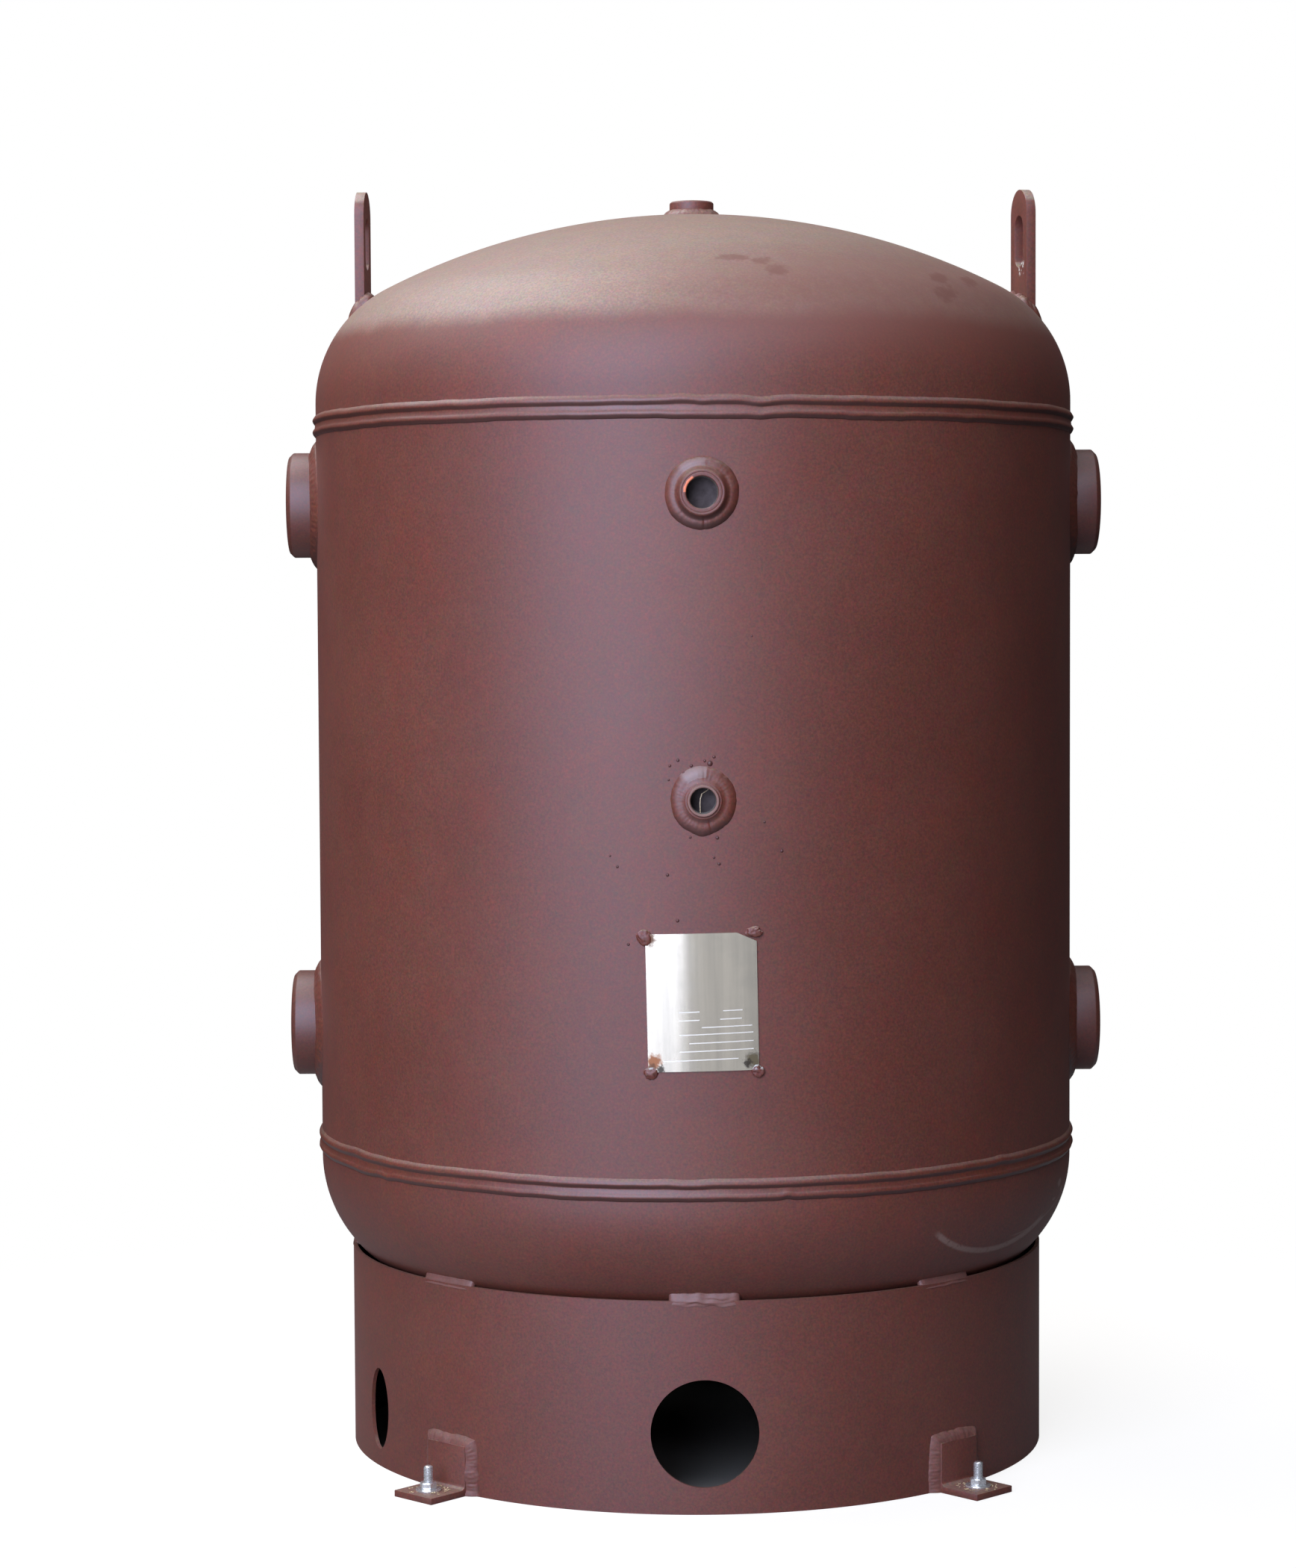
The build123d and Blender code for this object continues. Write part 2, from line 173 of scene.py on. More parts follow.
# The sprayed coat: mottled red, fine dry-spray grain, and pale dust on what faces up.
coat, given, made = effect(
    "primer_coat",
    [("Dust", "Float", 1.0), ("Paint", "Color", primer_red), ("Dry paint", "Color", primer_dry)],
    [("Color", "Color"), ("Roughness", "Float"), ("Height", "Float")],
)
place = put(coat, "TexCoord").outputs["Object"]
mottle = grain(coat, place, 5.0, 4.0, 0.6)
blotch = grain(coat, place, 13.0, 3.0, 0.6)
speckle = grain(coat, place, 460.0, 2.0, 0.7)
hue = grain(coat, place, 380.0, 1.0, output="Color")
stain = grain(coat, place, 48.0, 3.0, 0.65, output="Color")
peel = grain(coat, place, 260.0, 2.0, 0.6)
drift = grain(coat, place, 9.0, 5.0, 0.65)
facing = less(coat, upward(coat), 0.07)
lying = ramp(coat, reckon(coat, "MULTIPLY_ADD", drift, 0.14, facing), 0.44, 0.62)
dusted = reckon(coat, "MULTIPLY", lying, given["Dust"], clamp=True)
red = tint(coat, ramp(coat, mottle, 0.38, 0.66), given["Paint"], given["Dry paint"])
red = tint(coat, ramp(coat, blotch, 0.46, 0.72, 0.0, 0.45), red, primer_warm)
cover = tint(coat, dusted, red, dust_tan)
light = ramp(coat, speckle, 0.30, 0.72, 0.82, 1.18)
cover = put(coat, "HueSaturation", {"Color": cover, "Value": light}).outputs[0]
cast = tint(coat, 0.17, tint(coat, 0.35, cover, hue, "OVERLAY"), stain, "OVERLAY")
coat.links.new(cast, made["Color"])
rough = reckon(coat, "MULTIPLY_ADD", mottle, 0.10, reckon(coat, "MULTIPLY_ADD", speckle, 0.10, 0.46))
coat.links.new(rough, made["Roughness"])
coat.links.new(reckon(coat, "MULTIPLY_ADD", speckle, 0.35, peel), made["Height"])


def primer_paint(name, dust=0.9, marks=(), peel_height=0.00012, dryness=1.0):
    """Primer coat as a material; each mark takes the tree and a colour and gives the marked colour."""
    paint, tree, skin = blank(name)
    sprayed = put(tree, "Group", node_tree=coat)
    sprayed.inputs["Dust"].default_value = dust
    colour = sprayed.outputs["Color"]
    for mark in marks:
        colour = mark(tree, colour)
    wire(tree, skin, {
        "Base Color": colour, "Roughness": product(tree, sprayed.outputs["Roughness"], dryness),
        "Specular IOR Level": 0.9, "Specular Tint": primer_sheen,
        "Normal": raised(tree, sprayed.outputs["Height"], 0.6, peel_height),
    })
    return paint


def patchy_skin(name, colours, cloud, spread, rough, relief, metal=0.0, shine=0.5):
    """Bare material in two colours by patches.

    Cloud is the scale, detail and roughness of the patches.
    Relief is the same for the fine grain, then its strength and depth.
    """
    material, tree, skin = blank(name)
    where = put(tree, "TexCoord").outputs["Object"]
    patch = grain(tree, where, *cloud)
    wire(tree, skin, {
        "Base Color": tint(tree, ramp(tree, patch, *spread), *colours),
        "Roughness": ramp(tree, patch, 0.3, 0.7, *rough), "Metallic": metal, "Specular IOR Level": shine,
        "Normal": raised(tree, grain(tree, where, *relief[:3]), *relief[3:]),
    })
    return material


def mill_scale(name, colour, worn, scale):
    """Dark blue-grey skin of hot-rolled steel, browned in patches."""
    relief = (scale * 30, 2.0, 0.5, 0.4, 0.0002)
    return patchy_skin(name, (colour, worn), (scale, 6.0, 0.65), (0.42, 0.68), (0.35, 0.7), relief, 0.6)


def stand_up(name, data):
    """A new object in the scene."""
    thing = bpy.data.objects.new(name, data)
    bpy.context.scene.collection.objects.link(thing)
    return thing


def make_object(bm, name, materials=()):
    """An object in the scene from a bmesh, which is freed."""
    mesh = bpy.data.meshes.new(name)
    bm.to_mesh(mesh)
    bm.free()
    for material in materials:
        mesh.materials.append(material)
    return stand_up(name, mesh)


def finish(bm, name, materials, nodes=(), sharp=sharp_turn):
    """Makes a piece of a bmesh: faces outwards, smooth between its sharp edges, riding on the tank."""
    bmesh.ops.recalc_face_normals(bm, faces=bm.faces[:])
    piece = make_object(bm, name, materials)
    piece.data.shade_smooth()
    piece.data.set_sharp_from_angle(angle=radians(sharp))
    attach(piece, "root")
    if nodes:
        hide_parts(*nodes)
    return piece


def spin_round(bm, steps, cuts=0):
    """Turns everything in the bmesh once about the upright axis, with cuts in each step of the turn."""
    bmesh.ops.spin(
        bm, geom=bm.verts[:] + bm.edges[:], cent=(0, 0, 0), axis=(0, 0, 1), angle=tau, steps=steps,
        use_merge=True,
    )
    bmesh.ops.remove_doubles(bm, verts=bm.verts[:], dist=1e-6)
    if cuts:
        spans = [(e, *[Vector((hypot(v.co.x, v.co.y), v.co.z)) for v in e.verts]) for e in bm.edges]
        level = [e for e, one, other in spans if (one - other).length < 1e-5]
        bmesh.ops.subdivide_edges(bm, edges=level, cuts=cuts)
    bmesh.ops.recalc_face_normals(bm, faces=bm.faces[:])


def outward(azimuth):
    """Level direction out of the tank."""
    return Vector((sin(azimuth), -cos(azimuth), 0))


def spot_at(azimuth, reach, height):
    """Point at a distance from the tank's axis, and a height."""
    return outward(azimuth) * reach + Vector((0, 0, height))


def pointing(direction):
    """Turn that takes the upright axis to a direction."""
    return Vector((0, 0, 1)).rotation_difference(direction).to_matrix().to_4x4()


def move(bm, matrix):
    """Moves the whole bmesh."""
    bmesh.ops.transform(bm, matrix=matrix, verts=bm.verts[:])


def thicken(bm, thickness):
    """Gives a sheet its thickness, behind its faces."""
    bmesh.ops.solidify(bm, geom=bm.faces[:], thickness=thickness)


def drill(bm, radius, azimuth, height, reach=cutter_reach, stretch=1.0, steps=96):
    """Adds a round or oval cutter lying along an azimuth, from the tank's axis outwards."""
    direction = outward(azimuth)
    lift = Matrix.Translation(direction * reach / 2 + Vector((0, 0, height)))
    rod = bmesh.ops.create_cone(
        bm, cap_ends=True, segments=steps, radius1=radius, radius2=radius, depth=reach,
        matrix=lift @ pointing(direction),
    )
    stretching = Matrix.Diagonal((1, 1, stretch, 1))
    bmesh.ops.transform(bm, matrix=stretching, verts=rod["verts"], space=Matrix.Translation((0, 0, -height)))


def cut_holes(piece, bm):
    """Cuts the bmesh's cutters out of a piece and keeps the result as its mesh."""
    cutters = make_object(bm, "cutters")
    cutting = piece.modifiers.new("holes", "BOOLEAN")
    cutting.object = cutters
    cutting.operation = "DIFFERENCE"
    cutting.solver = "EXACT"
    shaped = piece.evaluated_get(bpy.context.evaluated_depsgraph_get())
    result = bpy.data.meshes.new_from_object(shaped)
    piece.modifiers.clear()
    piece.data = result
    bpy.data.objects.remove(cutters)
    result.set_sharp_from_angle(angle=radians(sharp_turn))


def line_inside(mesh, test):
    """Gives the second material to the faces that the test picks by centre and normal."""
    for face in mesh.polygons:
        if test(face.center, face.normal):
            face.material_index = 1


def rolled_plate(radius, low, high, cuts, wall):
    """Bmesh of a plate rolled into a ring, its wall inside the radius."""
    bm = bmesh.new()
    ends = [bm.verts.new((0, -radius, z)) for z in (low, high)]
    bmesh.ops.subdivide_edges(bm, edges=[bm.edges.new(ends)], cuts=cuts)
    spin_round(bm, vessel_steps)
    thicken(bm, wall)
    return bm


shell_paint = primer_paint("shell_primer", 0.5)
bare_inside = mill_scale("inside_mill_scale", (0.055, 0.057, 0.065, 1), (0.07, 0.05, 0.04, 1), 14.0)
bm = rolled_plate(vessel_radius, lower_seam + seam_gap, upper_seam - seam_gap, shell_rows, plate_wall)
shell = finish(bm, "shell_plate", [shell_paint, bare_inside], ["shell"])
cutters = bmesh.new()
for azimuth in (-pi / 2, pi / 2):
    for level in (upper_level, lower_level):
        drill(cutters, nozzle_radius + fit_gap, azimuth, level)
drill(cutters, gauge_radius + fit_gap, 0, upper_level)
drill(cutters, sensor_radius + fit_gap, 0, lower_front_level)
cut_holes(shell, cutters)
line_inside(shell.data, lambda c, n: hypot(c.x, c.y) < vessel_radius - 0.8 * plate_wall)

# Heads: dished plates pressed from the same steel, with a straight flange, a knuckle and a shallow crown.
# Dust has settled on the top one and was rubbed off by hands in places; across its right side it is thinned
# and reddened as painted shade. The bottom one is scuffed.
head_crown = 0.680
head_knuckle = 0.127
head_flange = 0.019
knuckle_centre = vessel_radius - head_knuckle
crown_depth = sqrt((head_crown - head_knuckle) ** 2 - knuckle_centre ** 2)
knuckle_sweep = atan2(crown_depth, knuckle_centre)
knuckle_steps = 28
crown_steps = 40
axis_hole = 0.02275
scrape_fade = 0.12
head_middle = 0.2


def head_rise(radius):
    """Height of a head's outside above its tangent line, at a radius from the axis."""
    if radius < head_crown * cos(knuckle_sweep):
        return sqrt(head_crown ** 2 - radius ** 2) - crown_depth
    return sqrt(max(head_knuckle ** 2 - (radius - knuckle_centre) ** 2, 0))


def rubbed_and_shaded_spot(x, z, wide, high, colour, amount, blur=1.0, soft=0.0):
    """Mark of an uneven oval spot on the front of the tank, in x and z: rubbed paint, scuffs, and once
    painted shade.
    """
    def mark(tree, under):
        where, parts = located(tree)
        wobble = grain(tree, where, 80.0, 4.0, 0.7)
        across = reckon(tree, "DIVIDE", less(tree, parts["X"], x), wide)
        along = reckon(tree, "DIVIDE", less(tree, parts["Z"], z), high)
        reach = less(tree, sum_squares(tree, across, along), 1.2 * blur)
        reach = reckon(tree, "MULTIPLY_ADD", wobble, 2.4 * blur, reach)
        front = ramp(tree, parts["Y"], -0.17, 0.0, 1.0, 0.0)
        spot = product(tree, ramp(tree, reach, 0.2 - soft, 1.1 + soft, amount, 0.0), front)
        return tint(tree, spot, under, colour)
    return mark


def scrape(x, z, radius, start, end, wide, colour, amount):
    """Mark of a broken curved scrape: part of a circle in x and z, on the front of the tank."""
    def mark(tree, under):
        where, parts = located(tree)
        across = less(tree, parts["X"], x)
        along = less(tree, parts["Z"], z)
        reach = reckon(tree, "SQRT", sum_squares(tree, across, along))
        off = apart(tree, reach, radius)
        turn = reckon(tree, "ARCTAN2", along, across)
        ends = between(tree, turn, start, start + scrape_fade, end - scrape_fade, end)
        broken = ramp(tree, grain(tree, where, 260.0, 3.0, 0.7), 0.22, 0.48)
        front = reckon(tree, "LESS_THAN", parts["Y"], 0.0)
        line = product(tree, ramp(tree, off, 0.35 * wide, wide, amount, 0.0), broken, ends, front)
        return tint(tree, line, under, colour)
    return mark


rubbed_and_shaded_red = (0.165, 0.049, 0.031, 1)
smudge_red = (0.145, 0.042, 0.024, 1)
top_paint = primer_paint("top_head_primer", 0.63, [
    # Partly painted shade: this broad soft spot takes the dust off the right of the top head and reddens it,
    # where the head faces away from the lamps.
    rubbed_and_shaded_spot(0.180, 1.134, 0.240, 0.054, rubbed_and_shaded_red, 0.95, 0.35, 0.9),
    rubbed_and_shaded_spot(0.034, 1.1700, 0.019, 0.0046, smudge_red, 0.75, 1.2),
    rubbed_and_shaded_spot(0.058, 1.1670, 0.012, 0.0045, smudge_red, 0.75, 1.2),
    rubbed_and_shaded_spot(0.0735, 1.1565, 0.013, 0.0070, smudge_red, 0.8, 1.1),
    rubbed_and_shaded_spot(0.230, 1.156, 0.011, 0.007, smudge_red, 0.8, 1.1),
    rubbed_and_shaded_spot(0.235, 1.139, 0.013, 0.011, smudge_red, 0.8, 1.1),
    rubbed_and_shaded_spot(0.263, 1.156, 0.010, 0.007, smudge_red, 0.75, 1.1),
])
scuff_pale = (0.34, 0.22, 0.19, 1)
bottom_paint = primer_paint("bottom_head_primer", 0.5, [
    scrape(0.284, 0.312, 0.0859, -2.45, -0.85, 0.0042, scuff_pale, 0.72),
    scrape(0.300, 0.330, 0.0950, -1.60, -0.80, 0.0012, scuff_pale, 0.35),
    rubbed_and_shaded_spot(0.358, 0.273, 0.003, 0.005, scuff_pale, 0.8),
    rubbed_and_shaded_spot(0.362, 0.264, 0.002, 0.004, scuff_pale, 0.7),
    rubbed_and_shaded_spot(0.352, 0.258, 0.003, 0.002, scuff_pale, 0.5),
])

for name, node, tangent, up, paint in (
    ("top_dished_head", "top_head", upper_seam + head_flange, 1, top_paint),
    ("bottom_dished_head", "bottom_head", lower_seam - head_flange, -1, bottom_paint),
):
    bm = bmesh.new()
    rim = bm.verts.new((0, -vessel_radius, tangent - up * (head_flange - seam_gap)))
    edge = bm.verts.new((0, -vessel_radius, tangent))
    bmesh.ops.subdivide_edges(bm, edges=[bm.edges.new((rim, edge))], cuts=2)
    edge = min(bm.verts, key=lambda v: abs(v.co.z - tangent))
    bend = bmesh.ops.spin(
        bm, geom=[edge], cent=(0, -knuckle_centre, tangent), axis=(-up, 0, 0), angle=knuckle_sweep,
        steps=knuckle_steps,
    )
    bmesh.ops.spin(
        bm, geom=bend["geom_last"], cent=(0, 0, tangent - up * crown_depth), axis=(-up, 0, 0),
        angle=pi / 2 - knuckle_sweep - asin(axis_hole / head_crown), steps=crown_steps,
    )
    spin_round(bm, vessel_steps)
    if bm.faces[0].normal.dot(bm.faces[0].calc_center_median() * Vector((1, 1, 0))) < 0:
        bmesh.ops.reverse_faces(bm, faces=bm.faces[:])
    thicken(bm, plate_wall)
    head = finish(bm, name, [paint, bare_inside], [node])
    middle = Vector((0, 0, tangent - up * head_middle))
    line_inside(head.data, lambda c, n: n.dot(c - middle) < 0)

# Girth welds: each seam is closed by two cap passes side by side, laid by hand, so their lines wander.
# Starts and stops left steps and lumps, most of all on the upper seam above the front couplings.
seam_drop = 0.0018
ridge_wide = 0.0118
ridge_rise = 0.0031
ridge_crest = 0.42
back_limit = 0.38379
valley_rise = 0.0008
seam_sink = 0.0015
seam_steps = 60
seam_cuts = 19
ripple_pitch = 0.0034
ripple_high = 0.00008
slow_drift = 0.0010
quick_drift = 0.0004
weld_root = 0.003
ridge_points = (0, 0.05, 0.12, 0.2, 0.28, 0.35, 0.42, 0.52, 0.64, 0.78, 1)
# Painted shade for weld beads: faces turned downwards are darkened in colour, in place of the shade under
# them.
under_shade_dark = (0.045, 0.017, 0.013, 1)


def painted_under_shade(tree, under):
    """Painted shade: the underside of a bead darkened in colour, where less light falls on it."""
    return tint(tree, ramp(tree, upward(tree), -0.50, -0.10, 0.68, 0.0), under, under_shade_dark)


weld_paint = primer_paint("weld_primer", 0.25, [painted_under_shade], 0.00012, 0.85)


def lumpiness(x, y, z):
    """Smooth noise at a point, from -1 to 1."""
    return noise.noise(Vector((x, y, z)))


def wander(azimuth, cells, seed):
    """Noise that closes on itself round the tank, from -1 to 1."""
    return lumpiness(cos(azimuth) * cells, sin(azimuth) * cells, seed)


def swell(azimuth, at, width, power=2):
    """Bump round one azimuth: a bell, or flat-topped with a higher power."""
    off = (azimuth - at + pi) % tau - pi
    return exp(-abs(off / width) ** power)


girth_seams = (
    ("top_seam_weld", "top_girth_weld", upper_seam, 3.1, (
        (1.9, 7.0, -0.0011, -1, 8), (8.2, 1.3, -0.0009, -1, 2), (14.0, 4.5, 0.0007, -1, 2),
        (24.0, 3.6, -0.0009, -1, 8), (28.6, 1.2, -0.0008, -1, 2), (41.0, 1.5, -0.0008, -1, 2),
        (8.0, 2.2, -0.0019, 1, 2), (-3.0, 1.9, 0.0006, 1, 2), (0.2, 1.0, -0.0008, 1, 2),
        (13.5, 3.6, 0.0006, 1, 2), (-38.0, 2.0, 0.0007, 1, 2), (150.0, 2.0, -0.0012, -1, 6),
        (200.0, 1.5, 0.0010, 1, 2),
    )),
    ("bottom_seam_weld", "bottom_girth_weld", lower_seam, 8.7, (
        (-58.0, 3.4, -0.0012, -1, 4), (-52.0, 1.2, -0.0014, -1, 2), (-61.5, 2.0, 0.0010, 1, 2),
        (11.5, 0.8, 0.0013, -1, 2), (48.5, 1.7, 0.0014, 1, 2), (-2.0, 2.5, -0.0007, 1, 4),
        (120.0, 1.6, 0.0011, 1, 2), (215.0, 3.0, -0.0010, -1, 6),
    )),
)
for name, node, level, seed, lumps in girth_seams:
    bm = bmesh.new()
    shares = [point - 1 for point in ridge_points] + list(ridge_points[1:])
    outline = [bm.verts.new((0, -vessel_radius, share)) for share in shares]
    outline += [bm.verts.new((0, -vessel_radius + plate_wall, share)) for share in (0.9, -0.9)]
    for first, second in zip(outline, outline[1:] + outline[:1]):
        bm.edges.new((first, second))
    spin_round(bm, seam_steps, seam_cuts)
    for v in bm.verts:
        azimuth = atan2(v.co.x, -v.co.y)
        share = v.co.z
        side = 1 if share > 1e-5 else -1
        climb = min(max(share if side > 0 else share + 1, 0), 1)
        lump = [0, 0, 0]
        for at, width, size, which, power in lumps:
            lump[which] += size * swell(azimuth, radians(at), radians(width), power)
        upper = min(max((share + 0.25) / 0.4, 0), 1)
        shift = slow_drift * wander(azimuth, 3.5, seed) + quick_drift * wander(azimuth, 14, seed + 1)
        shift += lump[-1] * (1 - upper) + lump[1] * upper
        arc = azimuth * vessel_radius + 0.0015 * share * share
        ripple = sin(tau * arc / ripple_pitch + 2.5 * wander(azimuth, 40, seed)) * ripple_high
        crest = ridge_rise * (1 + 0.10 * wander(azimuth, 22, seed + 4 * side)) + ripple
        if climb < ridge_crest:
            bow = 1 - (1 - climb / ridge_crest) ** 1.5
        else:
            past = (climb - ridge_crest) / (1 - ridge_crest)
            bow = 1 - past * past * (3 - 2 * past)
        valley = valley_rise * max(1 - abs(share) / 0.30, 0)
        rise = max(crest * bow, valley) - seam_sink * (abs(share) > 0.98)
        inside = hypot(v.co.x, v.co.y) < vessel_radius - 0.001
        reach = vessel_radius - weld_root if inside else vessel_radius + rise
        if cos(azimuth) < 0:
            reach = min(reach, back_limit / -cos(azimuth))
        edge_wave = quick_drift * wander(azimuth, 26, seed + 17 * side) * abs(share)
        v.co.z = level - seam_drop + shift + share * ridge_wide + edge_wave
        v.co.x, v.co.y = (outward(azimuth) * reach).xy
    finish(bm, name, [weld_paint], [node], sharp=60)

# Butt seams of the rolled shell and skirt: one flat bead straight down the back of each.
# Each was laid in one pass, so its ripples are even and it hardly wanders.
seam_half = 0.0105
long_half = 0.007
long_rise = 0.002
long_limit = 0.0026
long_row = 0.0022
long_pitch = 0.0045
seam_stop = 0.003
skirt_radius = 0.3505
skirt_top = 0.20454
for name, node, radius, low, high, seed in (
    ("shell_seam_weld", "long_seam_weld", vessel_radius, lower_seam + seam_half, upper_seam - seam_half, 2.2),
    ("skirt_back_weld", "skirt_seam_weld", skirt_radius, 0.0, skirt_top - seam_stop, 6.1),
):
    bm = bmesh.new()
    bmesh.ops.create_grid(bm, x_segments=10, y_segments=int((high - low) / long_row), size=0.5)
    thicken(bm, 0.05)
    for v in bm.verts:
        across = 2 * v.co.x
        along = low + (v.co.y + 0.5) * (high - low)
        if abs(v.co.z) > 0.01:
            rise = -weld_root
        else:
            ripple = 0.00018 * sin(tau * (along - 0.002 * across * across) / long_pitch)
            wave = 0.3 * lumpiness(across, along * 60, seed)
            rise = long_rise * (0.8 + wave) * max(1 - across * across, 0) ** 0.6
            rise += ripple * (1 - abs(across)) - 0.0001
        drift = 0.0012 * lumpiness(seed, along * 9, 0)
        edge = 1 + 0.12 * lumpiness(seed + across, along * 40, 3)
        spread = across * long_half * edge + drift
        azimuth = pi - spread / radius
        v.co = spot_at(azimuth, radius + min(rise, long_limit), along)
    finish(bm, name, [weld_paint], [node], sharp=60)

# Half couplings: forged steel rings, taper threaded inside and let into holes in the plate.
# Four big ones serve the pipe loop at the sides, two small ones take a gauge and a sensor at the front.
nozzle_bore = 0.0415
nozzle_length = 0.052
nozzle_stand = 0.028
nozzle_chamfer = 0.0045
nozzle_thread = 0.036
nozzle_steps = 128
nozzle_rounding = 0.0007
pipe_pitch = 0.003175
lead_in = 0.002
thread_deep = 0.55
thread_wall = 0.62
thread_steps = 72
thread_steel = mill_scale("thread_steel", (0.085, 0.083, 0.088, 1), (0.10, 0.065, 0.045, 1), 60.0)


def round_edges(bm, size, segments=2, angle=0.5):
    """Rounds every edge of the bmesh that is sharper than the angle."""
    edges = [e for e in bm.edges if e.is_manifold and e.calc_face_angle() > angle]
    bmesh.ops.bevel(
        bm, geom=edges, offset=size, segments=segments, profile=0.5, affect="EDGES", material=-1,
        clamp_overlap=True,
    )


def chain(bm, points, closed=False):
    """Joins points, as radius and height, into a wire in the x z plane."""
    corners = [bm.verts.new((radius, 0, height)) for radius, height in points]
    for first, second in zip(corners, corners[1:]):
        bm.edges.new((first, second))
    if closed:
        bm.edges.new((corners[-1], corners[0]))


def cut_thread(crest, root, pitch, low, high, steps, skin=0.0003, taper=0.0):
    """Bmesh of one turned screw thread, as a thin sleeve; taper narrows it downwards."""
    bm = bmesh.new()
    teeth = []
    for turn in range(int((high - low) / pitch)):
        base = low + turn * pitch
        teeth.append((root, base))
        for edge, share in ((root, 0.12), (crest, 0.44), (crest, 0.56), (root, 0.88)):
            teeth.append((edge, base + share * pitch))
    chain(bm, teeth)
    bmesh.ops.spin(
        bm, geom=bm.verts[:] + bm.edges[:], cent=(0, 0, 0), axis=(0, 0, 1), dvec=(0, 0, pitch / steps),
        angle=tau, steps=steps,
    )
    bmesh.ops.remove_doubles(bm, verts=bm.verts[:], dist=pitch / 100)
    bmesh.ops.recalc_face_normals(bm, faces=bm.faces[:])
    for v in bm.verts:
        share = 1 - taper * (high - v.co.z) / 32 / crest
        v.co.x *= share
        v.co.y *= share
    thicken(bm, skin)
    return bm


def lay_in(bm, other, matrix=None):
    """Adds a copy of another bmesh to this one, and frees it."""
    mesh = bpy.data.meshes.new("part")
    other.to_mesh(mesh)
    other.free()
    if matrix:
        mesh.transform(matrix)
    bm.from_mesh(mesh)
    bpy.data.meshes.remove(mesh)


def half_coupling(name, node, seat, direction, profile, bore, pitch, depth, paint, steps, rounding):
    """Turned coupling body with its thread, set along a direction from its seat on the plate."""
    bm = bmesh.new()
    chain(bm, profile, closed=True)
    spin_round(bm, steps)
    round_edges(bm, rounding)
    face = max(height for radius, height in profile)
    root = bore + thread_deep * pitch
    lay_in(bm, cut_thread(bore, root, pitch, face - depth, face - 1.3 * lead_in, thread_steps, taper=1.0))
    for part in bm.faces:
        middle = part.calc_center_median()
        inside = hypot(middle.x, middle.y) < bore + thread_wall * pitch
        part.material_index = int(inside and middle.z < face - lead_in)
    move(bm, Matrix.Translation(seat) @ pointing(direction))
    return finish(bm, name, [paint, thread_steel], [node], sharp=24)


def plain_profile(outside, bore, length, stand, chamfer, pitch):
    """Half section of a plain coupling: radius and height above the plate."""
    wall = bore + thread_wall * pitch
    return [
        (wall, stand - length), (outside, stand - length), (outside, stand - chamfer),
        (outside - chamfer, stand), (bore + lead_in, stand), (wall, stand - lead_in),
    ]


def washed(share, colour):
    """Mark of a thin even wash of a colour."""
    return lambda tree, under: tint(tree, share, under, colour)


# Painted shade: the side couplings' primer is darkened a little, as they stand in less light than the shell.
nozzle_painted_shade = (0.055, 0.016, 0.011, 1)
nozzle_paint = primer_paint("nozzle_primer", 0.12, [washed(0.35, nozzle_painted_shade)], dryness=0.9)
for level_name, level in (("upper", upper_level), ("lower", lower_level)):
    for side, azimuth in (("left", -pi / 2), ("right", pi / 2)):
        half_coupling(
            f"{level_name}_{side}_half_coupling", f"{level_name}_{side}_nozzle",
            spot_at(azimuth, vessel_radius, level), outward(azimuth),
            plain_profile(
                nozzle_radius, nozzle_bore, nozzle_length, nozzle_stand, nozzle_chamfer, pipe_pitch,
            ),
            nozzle_bore, pipe_pitch, nozzle_thread, nozzle_paint, nozzle_steps, nozzle_rounding,
        )

# Front couplings: the upper one has a groove turned in its face, and orange rust where its bore was chased.
# The lower one has a raised lip round its bore, and a curl of swarf left in it.
# A grey plastic plug closes each bore.
rust_orange = (0.95, 0.27, 0.14, 1)
lip_pale = (0.34, 0.22, 0.19, 1)
gauge_pitch = 0.00221
gauge_bore = 0.01475
sensor_pitch = 0.00181
sensor_bore = 0.012
gauge_thread = 0.020
sensor_thread = 0.018
front_steps = 96
front_rounding = 0.00025


def about_axis(tree, parts, level):
    """Distance from a front coupling's axis, and height above it."""
    up = less(tree, parts["Z"], level)
    return reckon(tree, "SQRT", sum_squares(tree, parts["X"], up)), up


def chased_rust(tree, under):
    """Orange rust on the upper left of the upper front coupling's bore edge."""
    where, parts = located(tree)
    reach, up = about_axis(tree, parts, upper_level)
    turn = reckon(tree, "ARCTAN2", up, product(tree, parts["X"], -1.0))
    patchy = grain(tree, where, 420.0, 3.0, 0.7)
    band = ramp(tree, reckon(tree, "MULTIPLY_ADD", patchy, 0.002, reach), 0.0178, 0.0186, 1.0, 0.0)
    return tint(tree, product(tree, band, between(tree, turn, -0.02, 0.06, 0.98, 1.08)), under, rust_orange)


def ring_patch(level, inner, outer, start, end, colour, amount):
    """Mark of part of a ring about the axis of a front coupling; turns run from +X towards +Z."""
    def mark(tree, under):
        where, parts = located(tree)
        ragged = grain(tree, where, 240.0, 3.0, 0.6)
        reach, up = about_axis(tree, parts, level)
        reach = reckon(tree, "MULTIPLY_ADD", ragged, 0.003, less(tree, reach, 0.0015))
        turn = reckon(tree, "MULTIPLY_ADD", ragged, 0.12, reckon(tree, "ARCTAN2", up, parts["X"]))
        band = between(tree, reach, inner, inner + 0.0010, outer - 0.0010, outer)
        sector = between(tree, turn, start, start + 0.05, end - 0.25, end, amount)
        return tint(tree, product(tree, band, sector), under, colour)
    return mark


